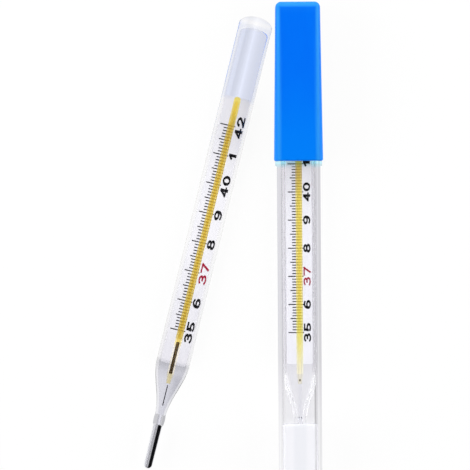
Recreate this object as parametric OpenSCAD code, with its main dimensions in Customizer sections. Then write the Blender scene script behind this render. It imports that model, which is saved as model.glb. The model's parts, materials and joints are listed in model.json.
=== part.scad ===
// Clinical thermometer of the enclosed-scale kind, mercury in glass, as the pair in which it is shown:
// one thermometer bare, and a second one in its clear tube with the push-on cap.
// A thermometer is drawn standing on its bulb tip, axis up +Z and scale facing -Y. It is then laid on
// its back on the table, so that the scale faces up (+Z) and the bulb points along -Y.

/* [Glass envelope] */
// Length of a thermometer from bulb tip to dome
thermo_len = 120; // [114:1:128]
// Width of the oval envelope
envelope_w = 8.64; // [8.24:0.08:9.6]
// Depth of the oval envelope, front to back
envelope_d = 6.8; // [6.2:0.1:7.6]
// Glass wall at the sides of the envelope
envelope_wall = 0.7; // [0.5:0.05:0.85]
// Height of the dome that seals the top
dome_h = 2.4; // [1.8:0.1:4.2]
// Glass gathered on the axis of the dome
dome_glass = 2.7; // [1.6:0.1:3.6]
// Height of the hollow's rounded end, under the dome
hollow_dome_h = 2; // [1.2:0.1:3]

/* [Bulb and weld collar] */
// Diameter of the bulb below the collar
bulb_d = 2.5; // [2.1:0.1:2.8]
// Diameter of the bulb near its tip
bulb_tip_d = 2.3; // [1.9:0.1:2.5]
// Glass wall of the bulb
bulb_wall = 0.25; // [0.18:0.01:0.35]
// Height of the conical roof inside the bulb
bulb_roof = 0.4; // [0.2:0.1:2]
// Length of the weld collar between bulb and neck
collar_len = 2.6; // [1.6:0.1:3.6]
// Diameter of the weld collar at its crown
collar_d = 3; // [2.8:0.05:3.4]
// Diameter of the weld collar at its ends
collar_end_d = 2.76; // [2.6:0.04:2.96]

/* [Throat tube] */
// Diameter of the throat tube inside the neck
throat_d = 1; // [0.8:0.05:1.2]
// Bore of the throat tube
throat_bore = 0.3; // [0.2:0.02:0.4]
// Bore at the pinch that breaks the mercury thread
pinch_bore = 0.1; // [0.06:0.01:0.16]
// Height of the pinched stretch above the collar
pinch_h = 1.6; // [1.2:0.1:4]
// Length of the funnel at either end of the pinch
pinch_funnel = 0.8; // [0.4:0.1:1.2]
// Air round the throat tube where the neck is narrowest
throat_clear = 0.1; // [0.05:0.01:0.16]

/* [Capillary] */
// Width of the capillary bar
capillary_w = 1.7; // [1.5:0.05:1.9]
// Radius of the lens front of the capillary bar
lens_r = 1; // [0.95:0.05:1.4]
// Glass from the middle of the bore to the lens crown
lens_front = 0.65; // [0.5:0.05:0.9]
// Glass from the middle of the bore to the flat back
capillary_back = 0.45; // [0.3:0.05:0.6]
// Width of the ribbon bore
bore_w = 0.8; // [0.6:0.05:0.95]
// Thickness of the ribbon bore
bore_t = 0.24; // [0.16:0.02:0.3]
// Glass beside the bore at the drawn-down foot
foot_wall = 0.12; // [0.08:0.01:0.2]
// Length of the drawn-down foot of the capillary
foot_len = 2.5; // [1.5:0.1:4]
// Length of capillary below the scale plate
capillary_drop = 5.1; // [4:0.1:7]
// Rise of the capillary's round head above the plate
capillary_over = 0.2; // [0:0.1:1]
// Solid glass above the bore at the head
head_glass = 1.2; // [0.6:0.1:2]
// Width of the amber strip behind the bore
backing_w = 1.1; // [0.6:0.05:1.3]
// Thickness of the amber strip
backing_t = 0.08; // [0.05:0.01:0.12]
// Gap between mercury and the glass round it
mercury_clear = 0.02; // [0.01:0.005:0.03]

/* [Scale plate] */
// Thickness of the scale plate
plate_t = 0.4; // [0.3:0.05:0.6]
// Gap between the plate's edges and the envelope
plate_clear = 0.05; // [0.03:0.01:0.15]
// Corner radius of the plate
plate_r = 0.5; // [0.2:0.1:1]
// Plate left above the highest mark
plate_margin = 7.5; // [4:0.1:9]
// Lowest whole degree on the scale
scale_low = 35; // [34:1:37]
// Highest whole degree on the scale
scale_high = 42; // [40:1:43]
// Marks to one degree
marks_per_degree = 10; // [5:5:10]
// Height of a mark's line
mark_h = 0.26; // [0.12:0.02:0.28]
// Thickness of the fired-on ink
mark_t = 0.03; // [0.02:0.01:0.05]
// Reach of a whole-degree mark, left of the axis
degree_reach = 2.85; // [2.3:0.05:2.9]
// Reach of a half-degree mark, left of the axis
half_reach = 2.3; // [1.9:0.05:2.5]
// Reach of every other mark, left of the axis
small_reach = 1.8; // [1.3:0.05:2.1]
// Reach of a whole-degree mark, right of the axis
degree_tail = 1.1; // [0.9:0.05:1.4]
// Reach of every other mark, right of the axis
small_tail = 0.7; // [0.5:0.05:0.9]

/* [Bare thermometer] */
// Length of the bare thermometer's bulb, from its tip to the collar
bare_bulb_len = 11.8; // [9:0.2:14]
// Width of its neck where it meets the weld collar
bare_neck_w = 2.76; // [2.6:0.04:2.96]
// Height above the tip where its drawn neck reaches full width
bare_shoulder = 28.2; // [26:0.2:32]
// Length of one degree on its scale
bare_degree = 7.77; // [7:0.01:8.4]
// Foot of its plate, above (+) or below (-) the shoulder
bare_plate_rise = -0.4; // [-0.6:0.1:3]
// Lowest mark above the foot of its plate
bare_first = 8.9; // [6:0.1:10]
// Bottom of its mercury column above the capillary's foot
bare_mercury_rise = 2.5; // [0.5:0.1:4]
// Length of its mercury column
bare_mercury_len = 8.5; // [2:0.1:14]
// Air between its lower mercury thread and the ends of the throat
thread_gap = 0.5; // [0.3:0.1:1.6]
// Angle in plan between the two thermometers
bare_lean = 14.15; // [6:0.05:24]
// Bulb tip of the bare thermometer above the cased one, in plan
bare_forward = 3.4; // [0:0.1:6]
// Gap in plan between the bare dome and the widest part of the cap
pair_gap = 0.3; // [0.3:0.05:4]

/* [Cased thermometer] */
// Length of the cased thermometer's bulb, from its tip to the collar
cased_bulb_len = 14; // [10:0.2:15]
// Width of its neck where it meets the weld collar
cased_neck_w = 3.6; // [2.6:0.1:4]
// Height above the tip where its drawn neck reaches full width
cased_shoulder = 27; // [25:0.2:31]
// Length of one degree on its scale
cased_degree = 7.25; // [6.8:0.01:8.4]
// Foot of its plate above the shoulder
cased_plate_rise = 3.2; // [-0.4:0.1:4]
// Lowest mark above the foot of its plate
cased_first = 8.1; // [6:0.1:10]
// Bottom of its mercury bead above the capillary's foot
cased_mercury_rise = 0.6; // [0.3:0.1:4]
// Length of its mercury bead
cased_mercury_len = 0.6; // [0.5:0.1:6]

/* [Case tube] */
// Air between a thermometer and the tube
thermo_clear = 0.23; // [0.15:0.01:0.5]
// Wall of the clear tube
case_wall = 1.05; // [0.85:0.05:1.4]
// Corner radius outside the tube
case_r = 1.6; // [1.2:0.1:2.2]
// Corner radius inside the tube
hollow_r = 0.8; // [0.4:0.1:1]
// Bottom of the tube
case_floor = 1.2; // [0.8:0.1:2]
// Length of tube in view, from its base to the top of the stop rib
case_len = 84.9; // [76:0.1:94]
// Height of the stop rib that the cap lands on
rib_h = 1.2; // [0.6:0.1:2]
// Height of the stop rib above the tube's faces
rib_out = 0.45; // [0.2:0.05:0.55]
// Wall of the spigot that the cap slides over
spigot_wall = 0.65; // [0.5:0.05:0.75]
// Length of the spigot
spigot_len = 17; // [10:0.5:24]
// Corner radius outside the spigot
spigot_r = 1.2; // [0.9:0.1:1.4]

/* [Bulb cushion] */
// Gap between the cushion and the tube
cushion_fit = 0.05; // [0.03:0.01:0.1]
// Gap between the cushion's bore and the weld collar
cushion_clear = 0.2; // [0.17:0.01:0.3]
// Cushion under the bore
cushion_floor = 1; // [0.6:0.1:2]
// Weld collar left in view above the cushion
collar_view = 1.8; // [0.2:0.1:2.4]
// Gap under the bulb tip
tip_clear = 0.3; // [0.2:0.05:0.8]

/* [Cap] */
// Slack of the cap on the spigot's end, each side
cap_fit = 0.1; // [0.06:0.01:0.2]
// Wall of the cap at its mouth
cap_wall = 0.93; // [0.8:0.01:1.3]
// Wall at the closed end of the cap
cap_top = 1.3; // [1:0.1:2]
// Room between the dome and the closed end
head_clear = 2.2; // [1:0.1:4]
// Draft of the cap's two sides, each
cap_draft = 0.77; // [0.3:0.01:1]
// Draft of the cap's hollow, each side
hollow_draft = 0.25; // [0.15:0.01:0.4]
// Radius along the cap's outer edges
cap_r = 1.5; // [1.1:0.1:2]
// Bevel round the rim of the cap
rim_bevel = 0.5; // [0.2:0.1:0.8]
// Radius of the hollow's corners
cap_hollow_r = 0.9; // [0.6:0.1:1]
// Gap between the cap's rim and the stop rib
seam = 0.1; // [0.05:0.01:0.3]

/* [Hidden] */
$fn = 96;

// Facets round a sphere or bevel of a rounded block
block_fn = 32;
// Points along the neck's curve, and along each dome
neck_steps = 9;
dome_steps = 6;
// Points along the bulge of the weld collar
collar_steps = 8;
// Overshoot of a cutting tool past the face that it opens
cut = 1;

// Envelope: the oval is a round profile squeezed front to back by this factor
oval = envelope_d / envelope_w;
hollow_w = envelope_w - 2 * envelope_wall;
neck_hollow_r = (throat_d / 2 + throat_clear) / oval;

// Depth of the layers behind the bore: capillary glass, amber strip, ink, plate
mark_y = capillary_back + backing_t;
plate_y = mark_y + mark_t;
plate_back_y = plate_y + plate_t;
hollow_at_plate = hollow_w * sqrt(1 - pow(2 * plate_back_y / (hollow_w * oval), 2));
plate_w = hollow_at_plate - 2 * plate_clear;

// Heights along the bare thermometer
degrees = scale_high - scale_low;
bare_neck_z = bare_bulb_len + collar_len;
bare_foot = bare_shoulder + bare_plate_rise;
bare_mark = bare_foot + bare_first;
bare_top = bare_mark + degrees * bare_degree + plate_margin;

// Heights along the cased thermometer
cased_neck_z = cased_bulb_len + collar_len;
cased_foot = cased_shoulder + cased_plate_rise;
cased_mark = cased_foot + cased_first;
cased_top = cased_mark + degrees * cased_degree + plate_margin;

// Case: inner and outer sections, and heights from the cased bulb tip
case_hollow = [envelope_w + 2 * thermo_clear, envelope_d + 2 * thermo_clear];
case_size = case_hollow + 2 * [case_wall, case_wall];
spigot_size = case_hollow + 2 * [spigot_wall, spigot_wall];
case_inside_z = -tip_clear - cushion_floor;
case_base_z = case_inside_z - case_floor;
rib_top_z = case_base_z + case_len;
spigot_top_z = rib_top_z + spigot_len;

// Cap: its hollow is tight at the spigot's end and opens towards the mouth by its draft
cap_mouth_z = rib_top_z + seam;
cap_len = thermo_len + head_clear + cap_top - cap_mouth_z;
cap_hollow_len = cap_len - cap_top;
tight = spigot_size + 2 * [cap_fit, cap_fit];
mouth_spread = 2 * (spigot_top_z - cap_mouth_z) * tan(hollow_draft);
mouth_hollow = tight + [mouth_spread, mouth_spread];
cap_mouth = mouth_hollow + 2 * [cap_wall, cap_wall];
cap_end = [cap_mouth.x - 2 * cap_len * tan(cap_draft), cap_mouth.y];

// Layout of the pair: its middle in plan is the origin, and the table is at Z = 0
dome_reach = norm([envelope_w / 2 * cos(bare_lean), dome_h * sin(bare_lean)]);
bare_reach = (thermo_len - dome_h) * sin(bare_lean) + dome_reach;
tip_reach = bulb_tip_d / 2 * (1 - sin(bare_lean));
pair_w = cap_mouth.x + pair_gap + bare_reach + tip_reach;
pair_len = cap_mouth_z + cap_len - case_base_z;
cased_x = pair_w / 2 - cap_mouth.x / 2;
cased_y = -pair_len / 2 - case_base_z;
bare_x = -pair_w / 2 + tip_reach;
bare_y = cased_y + bare_forward;

// Smooth step from 0 to 1, level at both ends
function ease(t) = t * t * (3 - 2 * t);

// Points of the drawn neck, from the collar (radius low at height foot) to the shoulder (high at top)
function neck_curve(low, high, foot, top) = [
    for (i = [0 : neck_steps])
        [low + (high - low) * ease(i / neck_steps), foot + (top - foot) * i / neck_steps]
];

// Points of a quarter ellipse, from its rim up to the axis
function dome_curve(r, top, h) = [
    for (i = [0 : dome_steps])
        [r * cos(90 * i / dome_steps), top - h + h * sin(90 * i / dome_steps)]
];

function reversed(points) = [for (i = [len(points) - 1 : -1 : 0]) points[i]];

// Flat outline with true arcs at its corners
module rounded_rect(size, r) {
    square([size.x - 2 * r, size.y], center = true);
    square([size.x, size.y - 2 * r], center = true);
    for (sx = [-1, 1], sy = [-1, 1])
        translate([sx * (size.x / 2 - r), sy * (size.y / 2 - r)])
            circle(r);
}

// Turns an outline drawn in X and Z, given a thickness, to stand with its front face at Y = y
module standing(y, thickness) {
    translate([0, y + thickness, 0])
        rotate([90, 0, 0])
            linear_extrude(thickness)
                children();
}

module envelope(neck_w, neck_z, shoulder) {
    profile = concat(
        neck_curve(neck_w / 2, envelope_w / 2, neck_z, shoulder),
        dome_curve(envelope_w / 2, thermo_len, dome_h),
        reversed(dome_curve(hollow_w / 2, thermo_len - dome_glass, hollow_dome_h)),
        reversed(neck_curve(neck_hollow_r, hollow_w / 2, neck_z, shoulder))
    );
    color("lavender", 0.4)
        for (turn = [0 : 90 : 270])
            scale([1, oval, 1])
                rotate([0, 0, turn])
                    rotate_extrude(angle = 90)
                        polygon(profile);
}

module scale_plate(foot, top) {
    color("white")
        standing(plate_y, plate_t)
            translate([0, (foot + top) / 2])
                rounded_rect([plate_w, top - foot], plate_r);
}

module scale_marks(first, degree) {
    color("dimgray")
        for (i = [0 : degrees * marks_per_degree]) {
            whole = i % marks_per_degree == 0;
            half = 2 * i % marks_per_degree == 0;
            reach = whole ? degree_reach : half ? half_reach : small_reach;
            tail = whole ? degree_tail : small_tail;
            translate([-reach, mark_y, first + i * degree / marks_per_degree - mark_h / 2])
                cube([reach + tail, mark_t, mark_h]);
        }
}

// Ribbon outline of the bore, smaller all round by inset
module bore_outline(inset) {
    square([bore_w - bore_t, bore_t - 2 * inset], center = true);
    for (sx = [-1, 1])
        translate([sx * (bore_w - bore_t) / 2, 0])
            circle(bore_t / 2 - inset);
}

// Lens-fronted bar with a round head and a drawn-down foot
module capillary(plate_foot, plate_top) {
    foot = plate_foot - capillary_drop;
    head = plate_top + capillary_over - capillary_w / 2;
    foot_w = bore_w + 2 * foot_wall;
    depth = lens_front + capillary_back;
    color("gold", 0.6)
        difference() {
            intersection() {
                translate([0, 0, foot])
                    linear_extrude(head + capillary_w - foot)
                        intersection() {
                            translate([0, lens_r - lens_front])
                                circle(lens_r);
                            translate([-capillary_w / 2, -lens_front])
                                square([capillary_w, depth]);
                        }
                standing(-lens_front - cut, depth + 2 * cut) {
                    polygon([
                        [-foot_w / 2, foot], [foot_w / 2, foot], [capillary_w / 2, foot + foot_len],
                        [capillary_w / 2, head], [-capillary_w / 2, head], [-capillary_w / 2, foot + foot_len]
                    ]);
                    translate([0, head])
                        circle(capillary_w / 2);
                }
            }
            translate([0, 0, foot - cut])
                linear_extrude(head + capillary_w / 2 - head_glass - foot + cut)
                    bore_outline(0);
        }
}

module capillary_backing(plate_foot, plate_top) {
    foot = plate_foot - capillary_drop + foot_len;
    color("goldenrod")
        translate([-backing_w / 2, capillary_back, foot])
            cube([backing_w, backing_t, plate_top - foot]);
}

module mercury_column(plate_foot, rise, length) {
    color("dimgray")
        translate([0, 0, plate_foot - capillary_drop + rise])
            linear_extrude(length)
                bore_outline(mercury_clear);
}

// Glass tube from the bulb to the capillary, pinched just above the collar
module throat_tube(bulb_len, plate_foot) {
    top = plate_foot - capillary_drop;
    pinch_top = bulb_len + collar_len + pinch_h;
    color("lavender", 0.5)
        rotate_extrude()
            polygon([
                [throat_bore / 2, bulb_len], [throat_d / 2, bulb_len],
                [throat_d / 2, top], [throat_bore / 2, top],
                [throat_bore / 2, pinch_top + pinch_funnel], [pinch_bore / 2, pinch_top],
                [pinch_bore / 2, bulb_len + pinch_funnel]
            ]);
}

module mercury_thread(bulb_len, plate_foot) {
    low = bulb_len + collar_len + pinch_h + pinch_funnel;
    color("dimgray")
        translate([0, 0, low])
            cylinder(d = throat_bore - 2 * mercury_clear, h = plate_foot - capillary_drop - thread_gap - low);
}

// Bead of glass that joins bulb, throat tube and neck, bulging between its two flat ends
module weld_collar(bulb_len) {
    bulge = (collar_d - collar_end_d) / 2;
    outside = [
        for (i = [0 : collar_steps])
            [collar_end_d / 2 + bulge * sin(180 * i / collar_steps), collar_len * i / collar_steps]
    ];
    inside = throat_d / 2 + mercury_clear;
    color("lightgray", 0.6)
        translate([0, 0, bulb_len])
            rotate_extrude()
                polygon(concat([[inside, 0]], outside, [[inside, collar_len]]));
}

// Solid of the bulb's form, smaller all round by inset, up to a height
module bulb_form(inset, top) {
    tip_r = bulb_tip_d / 2;
    translate([0, 0, tip_r])
        sphere(tip_r - inset);
    translate([0, 0, tip_r])
        cylinder(r1 = tip_r - inset, r2 = bulb_d / 2 - inset, h = top - tip_r);
}

// Space inside the bulb, up to the tip of its conical roof, smaller all round by inset
module bulb_hollow(bulb_len, inset) {
    wall = bulb_wall + inset;
    roof_z = bulb_len - bulb_wall - bulb_roof;
    bulb_form(wall, roof_z);
    translate([0, 0, roof_z])
        cylinder(r1 = bulb_d / 2 - wall, r2 = throat_bore / 2 - inset, h = bulb_roof - inset);
}

module bulb(bulb_len) {
    color("silver", 0.5)
        difference() {
            bulb_form(0, bulb_len);
            bulb_hollow(bulb_len, 0);
            cylinder(d = throat_bore, h = bulb_len + cut);
        }
}

module bulb_mercury(bulb_len) {
    color("gray")
        bulb_hollow(bulb_len, mercury_clear);
}

// Clear tube: square section with a closed, rounded bottom, a stop rib and a thinner spigot
module case_tube() {
    color("aliceblue", 0.4)
        difference() {
            union() {
                intersection() {
                    translate([0, 0, case_base_z])
                        linear_extrude(case_len)
                            rounded_rect(case_size, case_r);
                    standing(-case_size.y, 2 * case_size.y)
                        translate([0, case_base_z + case_len])
                            rounded_rect([case_size.x, 2 * case_len], case_r);
                    rotate([0, 0, 90])
                        standing(-case_size.x, 2 * case_size.x)
                            translate([0, case_base_z + case_len])
                                rounded_rect([case_size.y, 2 * case_len], case_r);
                }
                translate([0, 0, rib_top_z - rib_h])
                    linear_extrude(rib_h)
                        rounded_rect(case_size + 2 * [rib_out, rib_out], case_r + rib_out);
                translate([0, 0, rib_top_z])
                    linear_extrude(spigot_len)
                        rounded_rect(spigot_size, spigot_r);
            }
            translate([0, 0, case_inside_z])
                linear_extrude(spigot_top_z - case_inside_z + cut)
                    rounded_rect(case_hollow, hollow_r);
        }
}

// Soft plug in the foot of the tube, bored for the bulb
module bulb_cushion() {
    height = cased_neck_z - collar_view - case_inside_z;
    bore_r = collar_d / 2 + cushion_clear;
    color("whitesmoke", 0.8)
        difference() {
            translate([0, 0, case_inside_z])
                linear_extrude(height)
                    rounded_rect(case_hollow - 2 * [cushion_fit, cushion_fit], hollow_r);
            translate([0, 0, -tip_clear])
                cylinder(r = bore_r, h = height + cut);
        }
}

// Quarter-round top of one corner, r high and r in radius
module corner_dome(r) {
    rotate_extrude($fn = block_fn)
        intersection() {
            circle(r, $fn = block_fn);
            square(r);
        }
}

// Drafted block with rounded edges and a bevelled rim, on its open end
module cap_block() {
    hull()
        for (sx = [-1, 1], sy = [-1, 1]) {
            translate([sx * (cap_end.x / 2 - cap_r), sy * (cap_end.y / 2 - cap_r), cap_len - cap_r])
                corner_dome(cap_r);
            translate([sx * (cap_mouth.x / 2 - cap_r), sy * (cap_mouth.y / 2 - cap_r), 0])
                cylinder(r1 = cap_r - rim_bevel, r2 = cap_r, h = rim_bevel, $fn = block_fn);
        }
}

// Hollow of the cap, drafted all round, reaching past the rim
module cap_hollow() {
    end_z = cap_hollow_len - cap_hollow_r;
    end = mouth_hollow / 2 - end_z * tan(hollow_draft) * [1, 1];
    rim = mouth_hollow / 2 + cut * tan(hollow_draft) * [1, 1];
    hull()
        for (sx = [-1, 1], sy = [-1, 1]) {
            translate([sx * (end.x - cap_hollow_r), sy * (end.y - cap_hollow_r), end_z])
                corner_dome(cap_hollow_r);
            translate([sx * (rim.x - cap_hollow_r), sy * (rim.y - cap_hollow_r), -cut])
                mirror([0, 0, 1])
                    corner_dome(cap_hollow_r);
        }
}

module cap() {
    color("dodgerblue")
        translate([0, 0, cap_mouth_z])
            difference() {
                cap_block();
                cap_hollow();
            }
}

// Lays a standing thermometer on its back, the bare one turned in plan
module bare() {
    translate([bare_x, bare_y, envelope_d / 2])
        rotate([0, 0, -bare_lean])
            rotate([-90, 0, 0])
                children();
}

module cased() {
    translate([cased_x, cased_y, cap_mouth.y / 2])
        rotate([-90, 0, 0])
            children();
}

bare() envelope(bare_neck_w, bare_neck_z, bare_shoulder);  // bare_envelope
bare() scale_plate(bare_foot, bare_top);  // bare_scale_plate
bare() scale_marks(bare_mark, bare_degree);  // bare_scale_marks
bare() capillary(bare_foot, bare_top);  // bare_capillary
bare() capillary_backing(bare_foot, bare_top);  // bare_capillary_backing
bare() mercury_column(bare_foot, bare_mercury_rise, bare_mercury_len);  // bare_mercury_column
bare() throat_tube(bare_bulb_len, bare_foot);  // bare_throat_tube
bare() mercury_thread(bare_bulb_len, bare_foot);  // bare_mercury_thread
bare() weld_collar(bare_bulb_len);  // bare_weld_collar
bare() bulb(bare_bulb_len);  // bare_bulb
bare() bulb_mercury(bare_bulb_len);  // bare_bulb_mercury
cased() envelope(cased_neck_w, cased_neck_z, cased_shoulder);  // cased_envelope
cased() scale_plate(cased_foot, cased_top);  // cased_scale_plate
cased() scale_marks(cased_mark, cased_degree);  // cased_scale_marks
cased() capillary(cased_foot, cased_top);  // cased_capillary
cased() capillary_backing(cased_foot, cased_top);  // cased_capillary_backing
cased() mercury_column(cased_foot, cased_mercury_rise, cased_mercury_len);  // cased_mercury_bead
cased() throat_tube(cased_bulb_len, cased_foot);  // cased_throat_tube
cased() weld_collar(cased_bulb_len);  // cased_weld_collar
cased() bulb(cased_bulb_len);  // cased_bulb
cased() bulb_mercury(cased_bulb_len);  // cased_bulb_mercury
cased() case_tube();
cased() bulb_cushion();
cased() cap();
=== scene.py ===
"""Looks of two mercury thermometers, one bare and one in its capped tube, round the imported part.

A thermometer is worked out in its own directions, in millimetres from its bulb tip: across to the right of
the scale, along from bulb to dome, and front towards the reader. Placement lays those points in the frame.
"""

import json
import logging
import math
from dataclasses import dataclass, replace
from enum import Enum

import bpy
import numpy as np
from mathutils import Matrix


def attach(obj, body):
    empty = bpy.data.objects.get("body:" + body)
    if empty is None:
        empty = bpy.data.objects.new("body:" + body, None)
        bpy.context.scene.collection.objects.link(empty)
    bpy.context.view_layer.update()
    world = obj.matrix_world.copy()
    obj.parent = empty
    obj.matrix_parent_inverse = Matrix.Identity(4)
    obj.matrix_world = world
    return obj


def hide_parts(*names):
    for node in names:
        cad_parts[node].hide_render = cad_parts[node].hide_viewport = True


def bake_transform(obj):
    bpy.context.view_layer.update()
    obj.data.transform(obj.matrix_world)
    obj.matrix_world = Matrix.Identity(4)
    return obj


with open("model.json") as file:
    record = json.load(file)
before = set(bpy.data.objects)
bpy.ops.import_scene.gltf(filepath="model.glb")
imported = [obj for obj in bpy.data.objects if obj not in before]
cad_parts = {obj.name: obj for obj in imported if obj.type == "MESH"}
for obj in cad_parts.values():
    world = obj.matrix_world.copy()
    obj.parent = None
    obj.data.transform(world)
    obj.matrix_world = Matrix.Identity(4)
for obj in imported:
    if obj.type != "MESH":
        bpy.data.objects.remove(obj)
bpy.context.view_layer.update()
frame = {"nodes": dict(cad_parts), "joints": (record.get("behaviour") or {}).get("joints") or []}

LOG = logging.getLogger("thermometers")
MM = 0.001
WHITE = (1.0, 1.0, 1.0)
BLACK = (0.0, 0.0, 0.0)
Array = np.ndarray
Range = tuple[float, float]
Colour = tuple[float, float, float]
Stops = list[tuple[float, Colour]]
Bands = tuple[tuple[float, Colour], ...]
Levels = tuple[Range, ...]
Marks = tuple[float, float, float]
Socket = bpy.types.NodeSocket
Material = bpy.types.Material
Object = bpy.types.Object


def srgb(red: float, green: float, blue: float) -> Colour:
    """Turns a colour as a screen shows it into the linear one that a shader takes.

    Args:
        red, green, blue: the colour on a scale of 0 to 255.

    Returns:
        The linear red, green and blue.
    """
    shares = np.array([red, green, blue]) / 255
    linear = np.where(shares <= 0.04045, shares / 12.92, ((shares + 0.055) / 1.055) ** 2.4)
    return tuple(linear.tolist())


def grey(level: float) -> Colour:
    """A grey of that level."""
    return (level, level, level)


def ease(share: Array) -> Array:
    """Smooth step from 0 to 1, level at both ends: 3 t squared less 2 t cubed."""
    return share * share * (3 - 2 * share)


def polyline(*points: Range) -> Array:
    """Points of a line with corners, n by 2."""
    return np.array(points, float)


def arc(centre: Range, radii: Range, start: float, stop: float, count: int) -> Array:
    """Points of an elliptic arc, count by 2: centre plus radii times cosine and sine of angles in degrees."""
    angle = np.radians(np.linspace(start, stop, count))
    return np.column_stack([centre[0] + radii[0] * np.cos(angle), centre[1] + radii[1] * np.sin(angle)])


def evenly_along(outline: Array, count: int) -> Array:
    """Walks round a closed outline and sets points at equal steps of its length.

    Args:
        outline: the outline's points, n by 2, the last one joined to the first.
        count: the number of points wanted.

    Returns:
        The new outline, count by 2, starting at the old first point.
    """
    loop = np.vstack([outline, outline[:1]])
    walked = np.concatenate([[0.0], np.cumsum(np.linalg.norm(np.diff(loop, axis=0), axis=1))])
    steps = np.linspace(0, walked[-1], count, endpoint=False)
    return np.column_stack([np.interp(steps, walked, loop[:, i]) for i in range(2)])


def rings(sections: Array, along: Array) -> Array:
    """Sets flat sections, n by m by 2, at their n places along an axis, which gives points, n by m by 3."""
    places = np.broadcast_to(np.asarray(along)[:, None], sections.shape[:2])
    return np.stack([sections[..., 0], places, sections[..., 1]], axis=-1)


def turned(profile: Array, oval: float = 1.0, count: int = 64) -> Array:
    """Turns a profile about the axis: across is r cos t, and front is r sin t times the oval factor.

    Args:
        profile: radius and place along the axis of each ring, n by 2.
        oval: depth of a ring over its width.
        count: points to a ring.

    Returns:
        The rings, n by count by 3.
    """
    angle = np.linspace(0, 2 * np.pi, count, endpoint=False)
    circle = np.column_stack([np.cos(angle), oval * np.sin(angle)])
    return rings(profile[:, 0, None, None] * circle, profile[:, 1])


def crisp(steps: Array, near: float = 0.05, least: float = 0.5) -> Array:
    """Sets two more steps beside the corners of every long run of a profile, so that it shades flat.

    Args:
        steps: the profile's steps, one to a row.
        near: distance of the new steps from the corners.
        least: shortest run that gets them.

    Returns:
        The profile with the new steps.
    """
    start, stop = steps[:-1], steps[1:]
    length = np.linalg.norm(stop - start, axis=1, keepdims=True)
    share = np.where(length > least, near / np.maximum(length, near), 0.0)
    added = np.stack([start, start + share * (stop - start), stop - share * (stop - start)], axis=1)
    kept = np.column_stack([np.ones(len(start), bool), np.repeat(length > least, 2, axis=1)])
    return np.vstack([added[kept], steps[-1:]])


def straight(half: Array, corner: float, places: Array | list[float]) -> Array:
    """Steps of a block profile along its sides: half width, half depth, corner radius and place, n by 4."""
    return np.column_stack([np.broadcast_to(half, (len(places), 2)), np.full(len(places), corner), places])


def rounding(half: Array, corner: float, place: float, radius: float, angle: Array, way: int = 1) -> Array:
    """Steps of a block profile over a round edge: in by one less the sine, along by one less the cosine.

    Args:
        half: half width and half depth beside the edge.
        corner: corner radius there.
        place: where the end face is along the axis.
        radius: radius of the edge.
        angle: angles in radians, 0 on the end face and a quarter turn on the sides.
        way: 1 if the sides run up from the end face, -1 if they run down.

    Returns:
        Half width, half depth, corner radius and place of each step, n by 4.
    """
    least_corner = 0.02
    cut = radius * (1 - np.sin(angle))
    along = place + way * radius * (1 - np.cos(angle))
    return np.column_stack([half - cut[:, None], np.maximum(corner - cut, least_corner), along])


def rounded_block(half: Array, radius: Array, corner: int = 10) -> Array:
    """Rounded rectangles: at each corner an arc about a point one radius in from both sides.

    Three more points on each straight side keep its shading flat.

    Args:
        half: half width and half depth of each section, n by 2.
        radius: corner radius of each section, n values.
        corner: points to a corner's arc.

    Returns:
        The outlines, n by m by 2.
    """
    signs = np.array([[1, 1], [-1, 1], [-1, -1], [1, -1]])
    angle = np.radians(np.linspace(0, 90, corner)[None, :] + 90 * np.arange(4)[:, None])
    turn = np.stack([np.cos(angle), np.sin(angle)], axis=-1)
    centres = signs[None] * (half - radius[:, None])[:, None, :]
    arcs = centres[:, :, None, :] + radius[:, None, None, None] * turn[None]
    ends = arcs[:, :, -1:, :]
    starts = np.roll(arcs[:, :, :1, :], -1, axis=1)
    between = np.array([0.06, 0.5, 0.94])[None, None, :, None]
    sides = ends + between * (starts - ends)
    return np.concatenate([arcs, sides], axis=2).reshape(len(half), -1, 2)


def blocks(steps: Array, middle: Array, corner: int = 10) -> Array:
    """Carries the rounded rectangles of a block profile, n by 4, along a straight line through a middle."""
    sections = rounded_block(steps[:, :2], steps[:, 2], corner)
    return rings(sections, steps[:, 3]) + middle * np.array([1, 0, 1])


@dataclass(frozen=True)
class Skin:
    """A closed surface of four-sided faces, with fans of triangles where an end is closed."""

    points: Array
    quads: Array
    fans: Array

    @classmethod
    def over(cls, chain: Array, joined: bool = False) -> "Skin":
        """Covers a chain of rings with quads from each ring to the next.

        The chain runs along the axis on the outside and back along it on the inside, so that faces look out.

        Args:
            chain: the rings, n by m by 3.
            joined: True if the last ring meets the first, False to close both ends with fans.

        Returns:
            The surface.
        """
        count, size = chain.shape[:2]
        number = np.arange(count * size).reshape(count, size)
        here, after = (number, np.roll(number, -1, axis=0)) if joined else (number[:-1], number[1:])
        quads = np.stack([here, after, np.roll(after, -1, 1), np.roll(here, -1, 1)], axis=-1).reshape(-1, 4)
        points = chain.reshape(-1, 3)
        if joined:
            return cls(points, quads, np.empty((0, 3), int))
        rims = np.stack([number[0], number[-1][::-1]])
        hubs = np.repeat(len(points) + np.arange(2)[:, None], size, axis=1)
        fans = np.stack([hubs, rims, np.roll(rims, -1, axis=1)], axis=-1).reshape(-1, 3)
        return cls(np.vstack([points, chain[[0, -1]].mean(1)]), quads, fans)

    @classmethod
    def together(cls, skins: list["Skin"]) -> "Skin":
        """Gathers several surfaces into one mesh.

        Args:
            skins: the surfaces.

        Returns:
            One surface with all their points and faces.
        """
        starts = np.cumsum([0] + [len(skin.points) for skin in skins[:-1]])
        quads = np.vstack([skin.quads + start for skin, start in zip(skins, starts)])
        fans = np.vstack([skin.fans + start for skin, start in zip(skins, starts)])
        return cls(np.vstack([skin.points for skin in skins]), quads, fans)


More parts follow.
